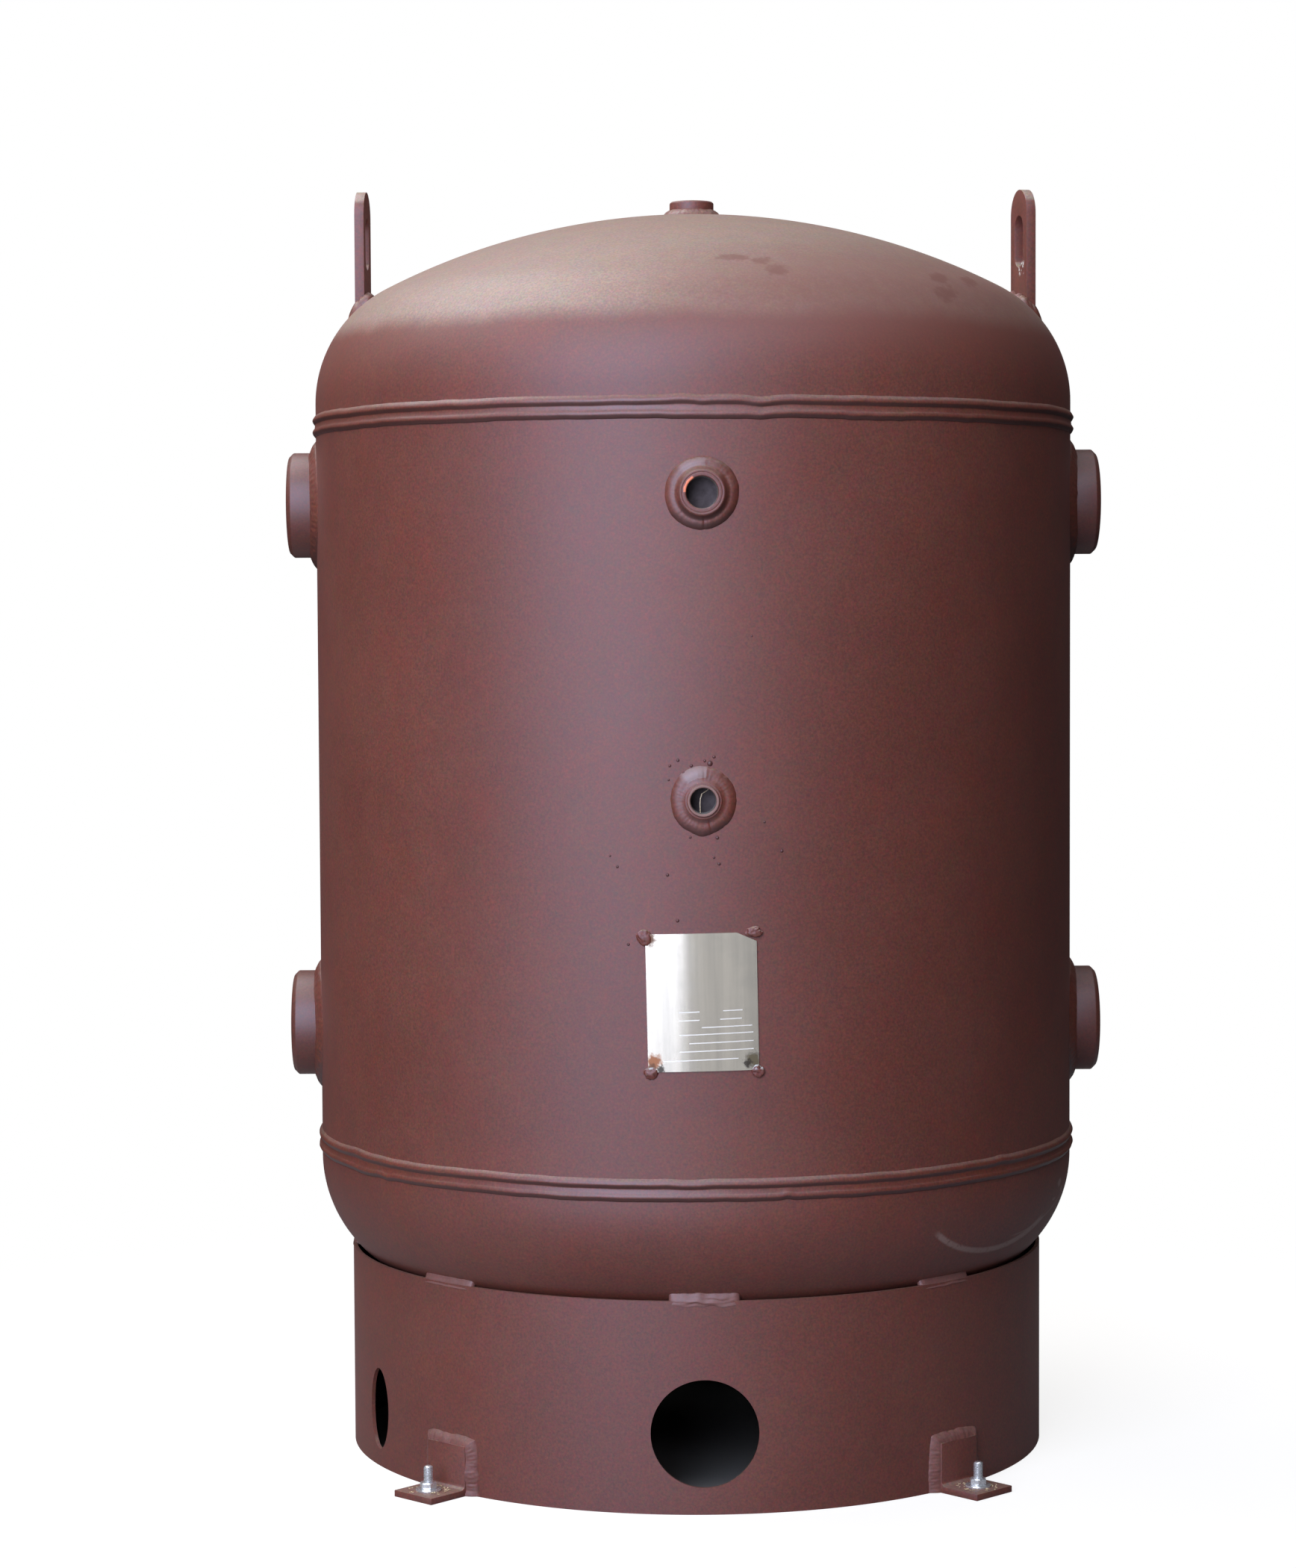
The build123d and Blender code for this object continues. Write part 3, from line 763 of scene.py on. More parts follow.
upper_front_seat = Vector((0, -vessel_radius, upper_level))
lower_front_seat = Vector((0, -vessel_radius, lower_front_level))
front = Vector((0, -1, 0))
gauge_wall = gauge_bore + thread_wall * gauge_pitch
half_coupling(
    "gauge_coupling", "upper_front_coupling", upper_front_seat, front,
    [
        (gauge_wall, -0.019), (gauge_radius, -0.019), (gauge_radius, 0.0098), (0.0203, 0.011),
        (0.0189, 0.011), (0.0187, 0.0106), (0.0183, 0.0106), (0.0180, 0.0109), (0.0155, 0.0109),
        (gauge_bore, 0.0102), (gauge_bore, 0.0086), (gauge_wall, 0.0086),
    ],
    gauge_bore, gauge_pitch, gauge_thread, primer_paint("gauge_coupling_primer", 0.3, [chased_rust]),
    front_steps, front_rounding,
)
sensor_wall = sensor_bore + thread_wall * sensor_pitch
half_coupling(
    "sensor_coupling", "lower_front_coupling", lower_front_seat, front,
    [
        (sensor_wall, -0.018), (sensor_radius, -0.018), (sensor_radius, 0.0058), (0.0166, 0.0064),
        (0.0150, 0.0064), (0.0146, 0.0072), (0.0146, 0.0084), (0.0142, 0.009), (0.0126, 0.009),
        (sensor_bore, 0.0084), (sensor_bore, 0.0066), (sensor_wall, 0.0066),
    ],
    sensor_bore, sensor_pitch, sensor_thread, primer_paint("sensor_coupling_primer", 0.3, [
        ring_patch(lower_front_level, 0.0100, 0.0150, -3.6, 3.6, lip_pale, 0.4),
    ]), front_steps, front_rounding,
)

plug_grey = patchy_skin(
    "plug_plastic", ((0.082, 0.066, 0.076, 1), (0.060, 0.048, 0.054, 1)), cloud=(120.0, 4.0, 0.6),
    spread=(0.35, 0.7), rough=(0.5, 0.7), relief=(900.0, 2.0, 0.5, 0.3, 0.0001), shine=0.2,
)
for name, level, radius, depth in (
    ("gauge_bore_plug", upper_level, 0.0149, 0.0085), ("sensor_bore_plug", lower_front_level, 0.0121, 0.0115),
):
    bm = bmesh.new()
    chain(bm, [(0, 0), (0.88 * radius, 0), (radius, 0.0008), (radius, -0.006), (0, -0.006)])
    spin_round(bm, 64)
    move(bm, Matrix.Translation((0, -vessel_radius + depth, level)) @ Matrix.Rotation(pi / 2, 4, "X"))
    finish(bm, name, [plug_grey])

bm = bmesh.new()
for x, z in (
    (0.0046, 0.0108), (0.0014, 0.0086), (-0.0017, 0.0066), (-0.0031, 0.0020), (-0.0036, -0.0022),
    (-0.0032, -0.0112),
):
    y = -vessel_radius - 0.0035 - 0.0016 * lumpiness(x * 300, z * 200, 1)
    bm.verts.new((x, y, lower_front_level + z))
bm.verts.ensure_lookup_table()
for index in range(len(bm.verts) - 1):
    bm.edges.new((bm.verts[index], bm.verts[index + 1]))
bmesh.ops.subdivide_edges(bm, edges=bm.edges[:], cuts=3)
strip = bmesh.ops.extrude_edge_only(bm, edges=bm.edges[:])
bmesh.ops.translate(
    bm, vec=(0.0008, -0.0006, 0), verts=[v for v in strip["geom"] if isinstance(v, bmesh.types.BMVert)]
)
bmesh.ops.recalc_face_normals(bm, faces=bm.faces[:])
thicken(bm, 0.0003)
swarf_steel = mill_scale("swarf_steel", (0.62, 0.52, 0.40, 1), (0.40, 0.30, 0.20, 1), 400.0)
finish(bm, "swarf_curl", [swarf_steel])

# Vent and drain couplings: the same one-inch half coupling on the axis of each head, top and underneath.
# The vent is let a little deeper into its head than the drain.
vent_radius = 0.02225
vent_length = 0.034
vent_chamfer = 0.0016
vent_thread = 0.024
vent_rounding = 0.0005
vent_paint = primer_paint("vent_primer", 0.15)
head_crown_top = upper_seam + head_flange + head_crown - crown_depth
head_crown_bottom = lower_seam - head_flange - head_crown + crown_depth
for name, node, height, stand, up in (
    ("vent_coupling", "top_vent_coupling", head_crown_top, 0.0155, 1),
    ("drain_coupling", "bottom_drain_coupling", head_crown_bottom, 0.018, -1),
):
    half_coupling(
        name, node, Vector((0, 0, height)), Vector((0, 0, up)),
        plain_profile(vent_radius, gauge_bore, vent_length, stand, vent_chamfer, gauge_pitch),
        gauge_bore, gauge_pitch, vent_thread, vent_paint, front_steps, vent_rounding,
    )

# Fillet welds round the couplings: painted over, uneven at the toe, with a step where the bead meets itself.
# Each runs from the coupling's side down on to the curved plate.
bead_points = 13
# Painted reflection: a pale patch on the upper left of each front bead stands in for the lamp's reflection
# there.
bead_painted_reflection = (0.34, 0.26, 0.265, 1)
bead_paint = primer_paint("coupling_bead_primer", 0.2, [
    painted_under_shade, ring_patch(upper_level, 0.0240, 0.0325, 1.50, 2.50, bead_painted_reflection, 0.32),
    ring_patch(lower_front_level, 0.0205, 0.0340, 1.48, 2.50, bead_painted_reflection, 0.48),
], 0.00008, 0.9)


def on_cylinder(azimuth, height, radius):
    """Places a bead's points on an upright cylinder: sideways, up, and out from its surface."""
    direction = outward(azimuth)
    sideways = Vector((cos(azimuth), sin(azimuth), 0))

    def set_down(u, v, h):
        return direction * (sqrt(radius ** 2 - u ** 2) + h) + sideways * u + Vector((0, 0, height + v))
    return set_down


def on_head(x, y, turn, tangent, up):
    """Places a bead's points on a head, about one point of it."""
    def set_down(u, v, h):
        px = x + u * cos(turn) - v * sin(turn)
        py = y + u * sin(turn) + v * cos(turn)
        return Vector((px, py, tangent + up * (head_rise(hypot(px, py)) + h)))
    return set_down


def round_foot(radius):
    """Outline of a round coupling: point and outward direction at a turn."""
    return lambda turn: (Vector((cos(turn), sin(turn))) * radius, Vector((cos(turn), sin(turn))))


def square_foot(half_u, half_v):
    """Outline of a flat bar: point and outward direction at a share of its perimeter."""
    def outline(turn):
        run = (turn / tau % 1) * 4 * (half_u + half_v)
        for length, corner, along, out in (
            (2 * half_v, (half_u, -half_v), (0, 1), (1, 0)),
            (2 * half_u, (half_u, half_v), (-1, 0), (0, 1)),
            (2 * half_v, (-half_u, half_v), (0, -1), (-1, 0)),
            (2 * half_u, (-half_u, -half_v), (1, 0), (0, -1)),
        ):
            if run <= length:
                break
            run -= length
        run = min(run, length)
        lean = (run / length - 0.5) * 2
        near = min(half_u, half_v) / length * 2
        corner_share = max(abs(lean) - (1 - min(near, 1)), 0) / min(near, 1)
        normal = Vector(out) + Vector(along) * corner_share ** 3 * (1 if lean > 0 else -1)
        return Vector(corner) + Vector(along) * run, normal.normalized()
    return outline


def fillet_bead(
    name, node, set_down, outline, leg, rise, steps, seed, lumps=(), rough=0.10, fat=0.5, crown=0.0, lip=0.0,
    calm=None, paint=weld_paint,
):
    """Closed bead of weld round an outline; lumps are (turn, width, extra height, extra reach).

    With a crown the bead climbs from there to the lip at the coupling, and is a low roll outside it.
    Calm is a turn and a width that were laid smoothly."""
    bm = bmesh.new()
    section = [(1 + step / (bead_points - 1), 1.0 + step) for step in range(bead_points)]
    chain(bm, section + [(1.85, 20.0), (1.0, 21.0)], closed=True)
    spin_round(bm, steps // 10, 9)
    for v in bm.verts:
        turn = atan2(v.co.y, v.co.x)
        rank = round(v.co.z)
        at, out = outline(turn)
        wide = leg * (1 + rough * wander(turn, 2.2, seed) + 0.6 * rough * wander(turn, 7, seed + 2))
        tall = rise * (1 + rough * wander(turn, 2.6, seed + 5) + 0.5 * rough * wander(turn, 9, seed + 7))
        for spot, width, higher, further in lumps:
            bump = swell(turn, spot, width)
            tall += higher * bump
            wide += further * bump
        if rank >= 20:
            reach, height = (wide * 0.85 if rank == 20 else -0.0003), -0.0012
        else:
            share = (rank - 1) / (bead_points - 1)
            curve = share * pi / 2
            reach = wide * (share + fat * (sin(curve) - share))
            height = tall * (1 - share + fat * (cos(curve) - (1 - share)))
            coarse = 0.0006 * (1 - 0.85 * swell(turn, *calm, 8) if calm else 1)
            if crown:
                reach, coarse = wide * share, 0.00012
                off = (share - crown) / (1 - crown) if share > crown else (crown - share) / crown
                height = tall * (1 - off ** 2.2) if share > crown else tall + (lip - tall) * off ** 1.6
            ripple = 0.2 * coarse * sin(turn * steps / 5 + 2 * wander(turn, 11, seed)) * sin(pi * share)
            height += ripple + coarse * wander(turn, 16, seed + 11 + 2 * share) * sin(pi * share)
            height -= 0.0004 * (rank == bead_points)
            reach -= 0.0002 * (rank == 1)
        spot = at + out * reach
        v.co = set_down(spot.x, spot.y, height)
    return finish(bm, name, [paint], [node], sharp=75)


for index, (node, azimuth, level) in enumerate((
    ("upper_left_nozzle_weld", -pi / 2, upper_level), ("upper_right_nozzle_weld", pi / 2, upper_level),
    ("lower_left_nozzle_weld", -pi / 2, lower_level), ("lower_right_nozzle_weld", pi / 2, lower_level),
)):
    fillet_bead(
        node.replace("_weld", "_bead"), node, on_cylinder(azimuth, level, vessel_radius),
        round_foot(nozzle_radius), leg=0.0126, rise=0.0072, steps=320, seed=3.3 + 2 * index,
        lumps=[
            (1.1 + index, 0.12, 0.0008, 0.0010), (-2.0 + index, 0.2, -0.0007, 0.001),
            (4.0 - index, 0.07, 0.0007, 0),
        ],
        rough=0.07, fat=0.3,
    )
fillet_bead(
    "gauge_coupling_bead", "upper_front_coupling_weld", on_cylinder(0, upper_level, vessel_radius),
    round_foot(gauge_radius), leg=0.0125, rise=0.0047, steps=200, seed=5.5,
    lumps=[
        (1.75, 0.30, 0.0004, 0.0), (-1.50, 0.035, -0.0008, -0.0003), (-2.6, 0.3, 0.0, 0.0006),
        (0.5, 0.25, -0.0004, 0.0005),
    ],
    rough=0.05, crown=0.33, lip=0.0094, paint=bead_paint,
)
fillet_bead(
    "sensor_coupling_bead", "lower_front_coupling_weld", on_cylinder(0, lower_front_level, vessel_radius),
    round_foot(sensor_radius), leg=0.0138, rise=0.0041, steps=200, seed=9.2,
    lumps=[
        (1.85, 0.42, 0.0008, 0.0015), (-1.3, 0.05, -0.0007, -0.0003), (-1.6, 0.3, 0.0, 0.0022),
        (3.1, 0.4, 0.0, -0.0012),
    ],
    rough=0.06, crown=0.30, lip=0.0058, paint=bead_paint,
)
for name, node, tangent, up, seed in (
    ("vent_coupling_bead", "top_vent_coupling_weld", upper_seam + head_flange, 1, 2.9),
    ("drain_coupling_bead", "bottom_drain_coupling_weld", lower_seam - head_flange, -1, 7.9),
):
    fillet_bead(
        name, node, on_head(0, 0, 0, tangent, up), round_foot(vent_radius), leg=0.008, rise=0.0075, steps=180,
        seed=seed,
    )

# Lifting lugs: flat bar with a full-round top and a tall eye, flame cut, standing on the head's knuckle.
# Both were set a little askew, the right one more, and a shackle has rubbed its eye down to bright steel.
lug_half = 0.0254
lug_thick = 0.0095
lug_radius = 0.336
lug_top = 1.26447
lug_foot = 1.138
eye_half = 0.013
eye_straight = 0.026
eye_crown = 0.026
eye_centre = lug_top - eye_crown - eye_straight
lug_steps = 96
lug_rounding = 0.0009
rub_level = eye_centre - 0.022
rub_side = -0.009
worn_steel = (0.75, 0.73, 0.70, 1)


def shackle_rub(tree, under):
    """Bare spots low on the inside of the right lug's eye."""
    where, parts = located(tree)
    patchy = grain(tree, where, 180.0, 3.0, 0.6)
    height = apart(tree, parts["Z"], rub_level)
    side = apart(tree, parts["Y"], rub_side)
    near = product(tree, ramp(tree, height, 0.008, 0.014, 1.0, 0.0), ramp(tree, side, 0.006, 0.009, 1.0, 0.0))
    return tint(tree, product(tree, near, ramp(tree, patchy, 0.50, 0.58)), under, worn_steel)


def face_up(bm):
    """Points a flat sheet's faces up."""
    bmesh.ops.recalc_face_normals(bm, faces=bm.faces[:])
    if bm.faces[0].normal.z < 0:
        bmesh.ops.reverse_faces(bm, faces=bm.faces[:])


for name, node, side, turn, marks in (
    ("left_lug", "left_lifting_lug", -0.991, radians(-4), []),
    ("right_lug", "right_lifting_lug", 1, radians(12), [shackle_rub]),
):
    bm = bmesh.new()
    rounding = bmesh.ops.create_circle(bm, segments=lug_steps, radius=lug_half)["verts"]
    for v in rounding:
        v.co.y = v.co.y + lug_top - lug_half if v.co.y > -1e-6 else lug_foot
    eye = bmesh.ops.create_circle(bm, segments=lug_steps, radius=eye_half)["verts"]
    for v in eye:
        v.co.y += eye_centre + (eye_straight / 2 if v.co.y > -1e-6 else -eye_straight / 2)
    bmesh.ops.bridge_loops(bm, edges=bm.edges[:])
    bmesh.ops.translate(bm, vec=(0, 0, lug_thick / 2), verts=bm.verts[:])
    face_up(bm)
    thicken(bm, lug_thick)
    round_edges(bm, lug_rounding, 3, 1.0)
    upright = Matrix(((0, 0, 1, 0), (1, 0, 0, 0), (0, 1, 0, 0), (0, 0, 0, 1)))
    move(bm, Matrix.Translation((side * lug_radius, 0, 0)) @ Matrix.Rotation(turn, 4, "Z") @ upright)
    finish(bm, name, [primer_paint(f"{name}_primer", 0.7, marks)], [node])
    fillet_bead(
        f"{name}_bead", f"{node}_weld", on_head(side * lug_radius, 0, turn, upper_seam + head_flange, 1),
        square_foot(lug_thick / 2, lug_half), leg=0.0075, rise=0.0095, steps=260, seed=4.4 + side,
        lumps=[
            (0.5, 0.2, 0.001, 0.0015), (2.2, 0.15, -0.001, 0.001), (-1.2, 0.1, 0.0015, 0.002),
            (3.6, 0.2, 0.001, 0.0),
        ],
        rough=0.22, fat=0.6,
    )

# Skirt: thin plate rolled into a ring, with a hand hole at the front and a tall oval vent slot on two sides.
# Short stitch welds hold it to the bottom head, the front one laid twice and left rough.
skirt_wall = 0.0036
skirt_gap = 0.0038
skirt_rows = 23
skirt_cutter = 0.42
hand_hole = 0.0508
hand_level = 0.076
slot_half = 0.022
slot_level = 0.057
slot_stretch = 40 / 22
slot_azimuths = (radians(-64.5), radians(115.5))
skirt_paint = primer_paint("skirt_primer", 0.2)
bm = rolled_plate(skirt_radius, 0, skirt_top - skirt_gap, skirt_rows, skirt_wall)
skirt = finish(bm, "skirt_ring", [skirt_paint, bare_inside], ["skirt"])
cutters = bmesh.new()
drill(cutters, hand_hole, 0, hand_level, skirt_cutter)
for azimuth in slot_azimuths:
    drill(cutters, slot_half, azimuth, slot_level, skirt_cutter, slot_stretch)
cut_holes(skirt, cutters)
line_inside(skirt.data, lambda c, n: hypot(c.x, c.y) < skirt_radius - 0.8 * skirt_wall)

stitch_azimuths = (0, 42.0, 90, 135, 180, 225, 270, 315.4)
stitch_half = 0.0335
fresh_pink = (0.30, 0.165, 0.155, 1)
stitch_paint = primer_paint("stitch_primer", 0.1, [washed(0.33, fresh_pink)], peel_height=0.0002)
bm = bmesh.new()
for index, stitch_azimuth in enumerate(stitch_azimuths):
    piece = bmesh.new()
    bmesh.ops.create_grid(piece, x_segments=48, y_segments=12, size=0.5)
    thicken(piece, 0.05)
    middle = radians(stitch_azimuth)
    coarse, slim, toe = (1.0, 1.0, -0.0016) if index == 0 else (0.35, 0.7, -0.0034)
    for v in piece.verts:
        along, across = 2 * v.co.x, v.co.y + 0.5
        under = abs(v.co.z) > 0.01
        seed = 3.7 * index
        lump = lumpiness(along * 1.5 + 1.2 * across, across * 3.0, seed)
        lump += 0.45 * lumpiness(along * 3.2 - across, across * 5.5, seed)
        fade = max(1 - abs(along) ** 6, 0) ** 0.5
        uneven = 0.002 * coarse * lumpiness(along * 2.8, 1, seed)
        low_reach, low_height = 0.0006, skirt_top - skirt_gap - 0.0046 * slim + uneven
        top_reach = toe + 0.0012 * coarse * lumpiness(along * 3, 8, seed)
        top_height = lower_seam - head_flange - head_rise(skirt_radius + top_reach)
        reach = low_reach + (top_reach - low_reach) * (0.35 * across + 0.65 * sin(across * pi / 2))
        height = low_height + (top_height - low_height) * across
        bulge = (0.0014 * slim + 0.0016 * coarse * lump) * sin(pi * across) * fade
        if under:
            reach, height = reach - 0.004, height + 0.001
        else:
            reach += bulge
        reach -= 0.0022 * (1 - fade)
        azimuth = middle + along * stitch_half / skirt_radius
        v.co = spot_at(azimuth, skirt_radius + reach, height - bulge * 0.6)
    lay_in(bm, piece)
finish(bm, "stitch_beads", [stitch_paint], ["skirt_stitch_welds"], sharp=75)

# Anchor feet: short pieces of rolled angle with a rounded root, drilled for an anchor, welded to the skirt.
# A flat bead caps the upright leg, and lumpy beads run down both its sides.
foot_leg = 0.0508
foot_rise = 0.0478
foot_wall = 0.00635
foot_half = 0.0254
anchor_reach = 0.030
anchor_hole = 0.0055
root_round = 0.005
foot_rounding = 0.0007
bead_low = -0.016
floor_cut = 0.0004
foot_paint = primer_paint("foot_primer", 0.35)
foot_bead_paint = primer_paint(
    "foot_bead_primer", 0.1, [washed(0.12, fresh_pink)], peel_height=0.0002, dryness=1.15
)
feet = (
    ("front_left", radians(-43.5)), ("front_right", radians(43.5)),
    ("back_right", radians(136.5)), ("back_left", radians(-136.5)),
)
for index, (corner, azimuth) in enumerate(feet):
    bm = bmesh.new()
    chain(bm, [
        (0, 0), (foot_leg, 0), (foot_leg, foot_wall), (foot_wall, foot_wall), (foot_wall, foot_rise),
        (0, foot_rise),
    ], closed=True)
    section = bmesh.ops.contextual_create(bm, geom=bm.edges[:])["faces"]
    swept = bmesh.ops.extrude_face_region(bm, geom=section)["geom"]
    far = [part for part in swept if isinstance(part, bmesh.types.BMVert)]
    bmesh.ops.translate(bm, vec=(0, 2 * foot_half, 0), verts=far)
    bmesh.ops.translate(bm, vec=(0, -foot_half, 0), verts=bm.verts[:])
    root = [
        e for e in bm.edges
        if all(abs(v.co.x - foot_wall) < 1e-5 and abs(v.co.z - foot_wall) < 1e-5 for v in e.verts)
    ]
    bmesh.ops.bevel(bm, geom=root, offset=root_round, segments=8, profile=0.5, affect="EDGES", material=-1)
    bmesh.ops.recalc_face_normals(bm, faces=bm.faces[:])
    round_edges(bm, foot_rounding, 2, 1.0)
    setting = Matrix.Translation(outward(azimuth) * skirt_radius) @ Matrix.Rotation(azimuth - pi / 2, 4, "Z")
    move(bm, setting)
    foot = finish(bm, f"{corner}_angle", [foot_paint], [f"{corner}_foot"])
    cutters = bmesh.new()
    bmesh.ops.create_cone(
        cutters, cap_ends=True, segments=40, radius1=anchor_hole, radius2=anchor_hole, depth=0.04,
        matrix=Matrix.Translation(outward(azimuth) * (skirt_radius + anchor_reach)),
    )
    cut_holes(foot, cutters)

    bead = fillet_bead(
        f"{corner}_foot_bead", f"{corner}_foot_weld",
        on_cylinder(azimuth, (foot_rise + bead_low) / 2, skirt_radius),
        square_foot(foot_half, (foot_rise - bead_low) / 2),
        leg=0.0095, rise=0.0062, steps=360, seed=6.1 + 3 * index,
        lumps=[
            (0.45, 0.09, 0.0012, 0.0015), (1.0, 0.12, 0.0010, 0.001), (2.45, 0.66, 0.0, -0.0008),
            (0.0, 0.07, 0.001, 0.0015),
        ],
        rough=0.15, fat=0.40, calm=(2.445, 0.70), paint=foot_bead_paint,
    )
    trimmed = bmesh.new()
    trimmed.from_mesh(bead.data)
    bmesh.ops.bisect_plane(
        trimmed, geom=trimmed.verts[:] + trimmed.edges[:] + trimmed.faces[:], plane_co=(0, 0, floor_cut),
        plane_no=(0, 0, 1), clear_inner=True,
    )
    bmesh.ops.holes_fill(trimmed, edges=[e for e in trimmed.edges if e.is_boundary])
    trimmed.to_mesh(bead.data)
    trimmed.free()

# Anchor fixings: a zinc-plated stud with a hexagon nut on a plain washer on each foot.
# Drilling left pale wood shavings round the front ones.
stud_radius = 0.0042
stud_pitch = 0.0016
washer_thick = 0.0021
washer_radius = 0.01225
washer_bore = stud_radius + 0.0006
nut_high = 0.0062
nut_across = 0.0143
stud_end = 0.0303 - foot_wall
stud_shoulder = stud_end - 0.0006
stud_low = -foot_wall + 0.0002
stud_core = stud_radius - 0.0007
stud_steps = 40
chips = 34
zinc = patchy_skin(
    "zinc_plate", ((0.86, 0.88, 0.92, 1), (0.62, 0.64, 0.66, 1)), cloud=(160.0, 4.0, 0.6),
    spread=(0.35, 0.7), rough=(0.20, 0.36), relief=(900.0, 2.0, 0.6, 0.08, 0.0001), metal=0.8,
)

for (corner, azimuth), nut_turn in zip(feet, (-13, 30, 144, -128)):
    centre = Matrix.Translation(spot_at(azimuth, skirt_radius + anchor_reach, foot_wall))
    bm = cut_thread(stud_radius - 0.0008, stud_radius, stud_pitch, 0.0015, stud_shoulder, stud_steps)
    core = bmesh.new()
    chain(core, [
        (0.0, stud_low), (stud_core, stud_low), (stud_core, stud_shoulder), (stud_radius - 0.0014, stud_end),
        (0.0, stud_end),
    ])
    spin_round(core, stud_steps)
    lay_in(bm, core)
    move(bm, centre)
    finish(bm, f"{corner}_stud", [zinc], sharp=30)

    bm = bmesh.new()
    chain(bm, [
        (washer_bore, 0.0), (washer_radius, 0.0), (washer_radius, washer_thick), (washer_bore, washer_thick),
    ], closed=True)
    spin_round(bm, 64)
    round_edges(bm, 0.0004)
    move(bm, centre)
    finish(bm, f"{corner}_washer", [zinc])

    bm = bmesh.new()
    hexagon = bmesh.ops.create_circle(bm, segments=48, radius=nut_across / sqrt(3))["verts"]
    for v in hexagon:
        turn = atan2(v.co.y, v.co.x)
        flat = (turn % (pi / 3)) - pi / 6
        v.co = Vector((cos(turn), sin(turn), 0)) * nut_across / 2 / cos(flat)
    bmesh.ops.create_circle(bm, segments=48, radius=stud_radius - 0.0002)
    bmesh.ops.bridge_loops(bm, edges=bm.edges[:])
    face_up(bm)
    thicken(bm, nut_high)
    bmesh.ops.translate(bm, vec=(0, 0, nut_high + washer_thick), verts=bm.verts[:])
    walls = [e for e in bm.edges if abs(e.verts[0].co.z - e.verts[1].co.z) > nut_high / 2]
    bmesh.ops.subdivide_edges(bm, edges=walls, cuts=6, use_grid_fill=True)
    for v in bm.verts:
        reach = hypot(v.co.x, v.co.y)
        if reach > stud_radius + 0.001:
            end = min(v.co.z - washer_thick, nut_high + washer_thick - v.co.z)
            limit = nut_across / 2 - 0.0001 + end * 1.7
            if reach > limit:
                v.co.x *= limit / reach
                v.co.y *= limit / reach
    move(bm, centre @ Matrix.Rotation(radians(nut_turn), 4, "Z"))
    finish(bm, f"{corner}_nut", [zinc], sharp=28)

wood = patchy_skin(
    "wood_shavings", ((0.60, 0.45, 0.25, 1), (0.80, 0.68, 0.46, 1)), cloud=(700.0, 4.0, 0.6),
    spread=(0.35, 0.65), rough=(0.7, 0.95), relief=(700.0, 4.0, 0.6, 0.5, 0.0002),
)

draw = random.Random(7)
for corner, azimuth in feet[:2]:
    bm = bmesh.new()
    for _ in range(chips):
        flake = bmesh.new()
        bmesh.ops.create_grid(flake, x_segments=3, y_segments=1, size=0.5)
        thicken(flake, 0.2)
        long, wide = draw.uniform(0.0012, 0.0042), draw.uniform(0.0005, 0.0013)
        curl = draw.uniform(0.0, 0.25)
        for v in flake.verts:
            v.co = Vector((v.co.x * long, v.co.y * wide, v.co.z * 0.0012 + curl * long * (2 * v.co.x) ** 2))
        swing = draw.uniform(0, tau)
        reach = draw.uniform(0.0128, 0.020)
        spun = Matrix.Rotation(draw.uniform(0, tau), 4, "Z")
        tilt = spun @ Matrix.Rotation(draw.uniform(-0.25, 0.25), 4, "X")
        spot = Vector((reach * cos(swing), min(reach * sin(swing), 0.018), foot_wall + 0.0004))
        lay_in(bm, flake, Matrix.Translation(outward(azimuth) * (skirt_radius + anchor_reach) + spot) @ tilt)
    finish(bm, f"{corner}_shavings", [wood])

# Nameplate: thin brushed stainless plate pressed to the shell's curve, blank, with ruled lines for stamping.
# A weld tack holds each corner; one corner was nipped off, and heat and damp have browned the others.
name_wide = 0.1016
name_high = 0.127
name_thick = 0.0015
name_level = 0.4833
name_turn = radians(1.0)
name_aside = -0.0016
name_columns = 48
name_rows = 60
tack_radius = 0.0066
tack_stand = 0.0003
rust_brown = (0.13, 0.050, 0.022, 1)
rust_bright = (0.32, 0.11, 0.038, 1)
burn_olive = (0.13, 0.105, 0.06, 1)
burn_dark = (0.04, 0.032, 0.026, 1)


def stretched(tree, where, across, along, detail, roughness):
    """Noise on the plate, in cells across it and along it."""
    scaled = put(tree, "Mapping", {"Vector": where, "Scale": (across, along, 1.0)}).outputs[0]
    return grain(tree, scaled, 1.0, detail, roughness)


steel_plate, tree, skin = blank("nameplate_brushed_steel")
where = put(tree, "TexCoord").outputs["UV"]
parts = put(tree, "SeparateXYZ", {0: where}).outputs
brush = stretched(tree, where, 14.0, 900.0, 3.0, 0.6)
upright = stretched(tree, where, 9.0, 0.35, 3.0, 0.55)
stain = stretched(tree, where, 4.0, 5.0, 4.0, 0.6)
metal = tint(tree, brush, (0.41, 0.385, 0.345, 1), (0.48, 0.455, 0.41, 1))
metal = tint(tree, ramp(tree, upright, 0.34, 0.70, 0.0, 0.6), metal, (0.325, 0.31, 0.285, 1))
metal = tint(tree, ramp(tree, stain, 0.45, 0.75, 0.0, 0.3), metal, (0.33, 0.32, 0.30, 1))
lean = product(tree, less(tree, parts["X"], 0.6), 0.02)
tilted = less(tree, parts["Y"], lean)
ruled = None
for low, left, right in (
    (0.435, 0.287, 0.472), (0.435, 0.685, 0.86), (0.375, 0.287, 0.472), (0.375, 0.657, 0.852),
    (0.32, 0.49, 0.944), (0.27, 0.287, 0.954), (0.208, 0.375, 0.954), (0.149, 0.287, 0.954),
    (0.085, 0.139, 0.815),
):
    off = apart(tree, tilted, low)
    inside = reckon(tree, "GREATER_THAN", parts["X"], left), reckon(tree, "LESS_THAN", parts["X"], right)
    rule = product(tree, ramp(tree, off, 0.0022, 0.0044, 1.0, 0.0), product(tree, *inside))
    ruled = rule if ruled is None else reckon(tree, "MAXIMUM", ruled, rule)
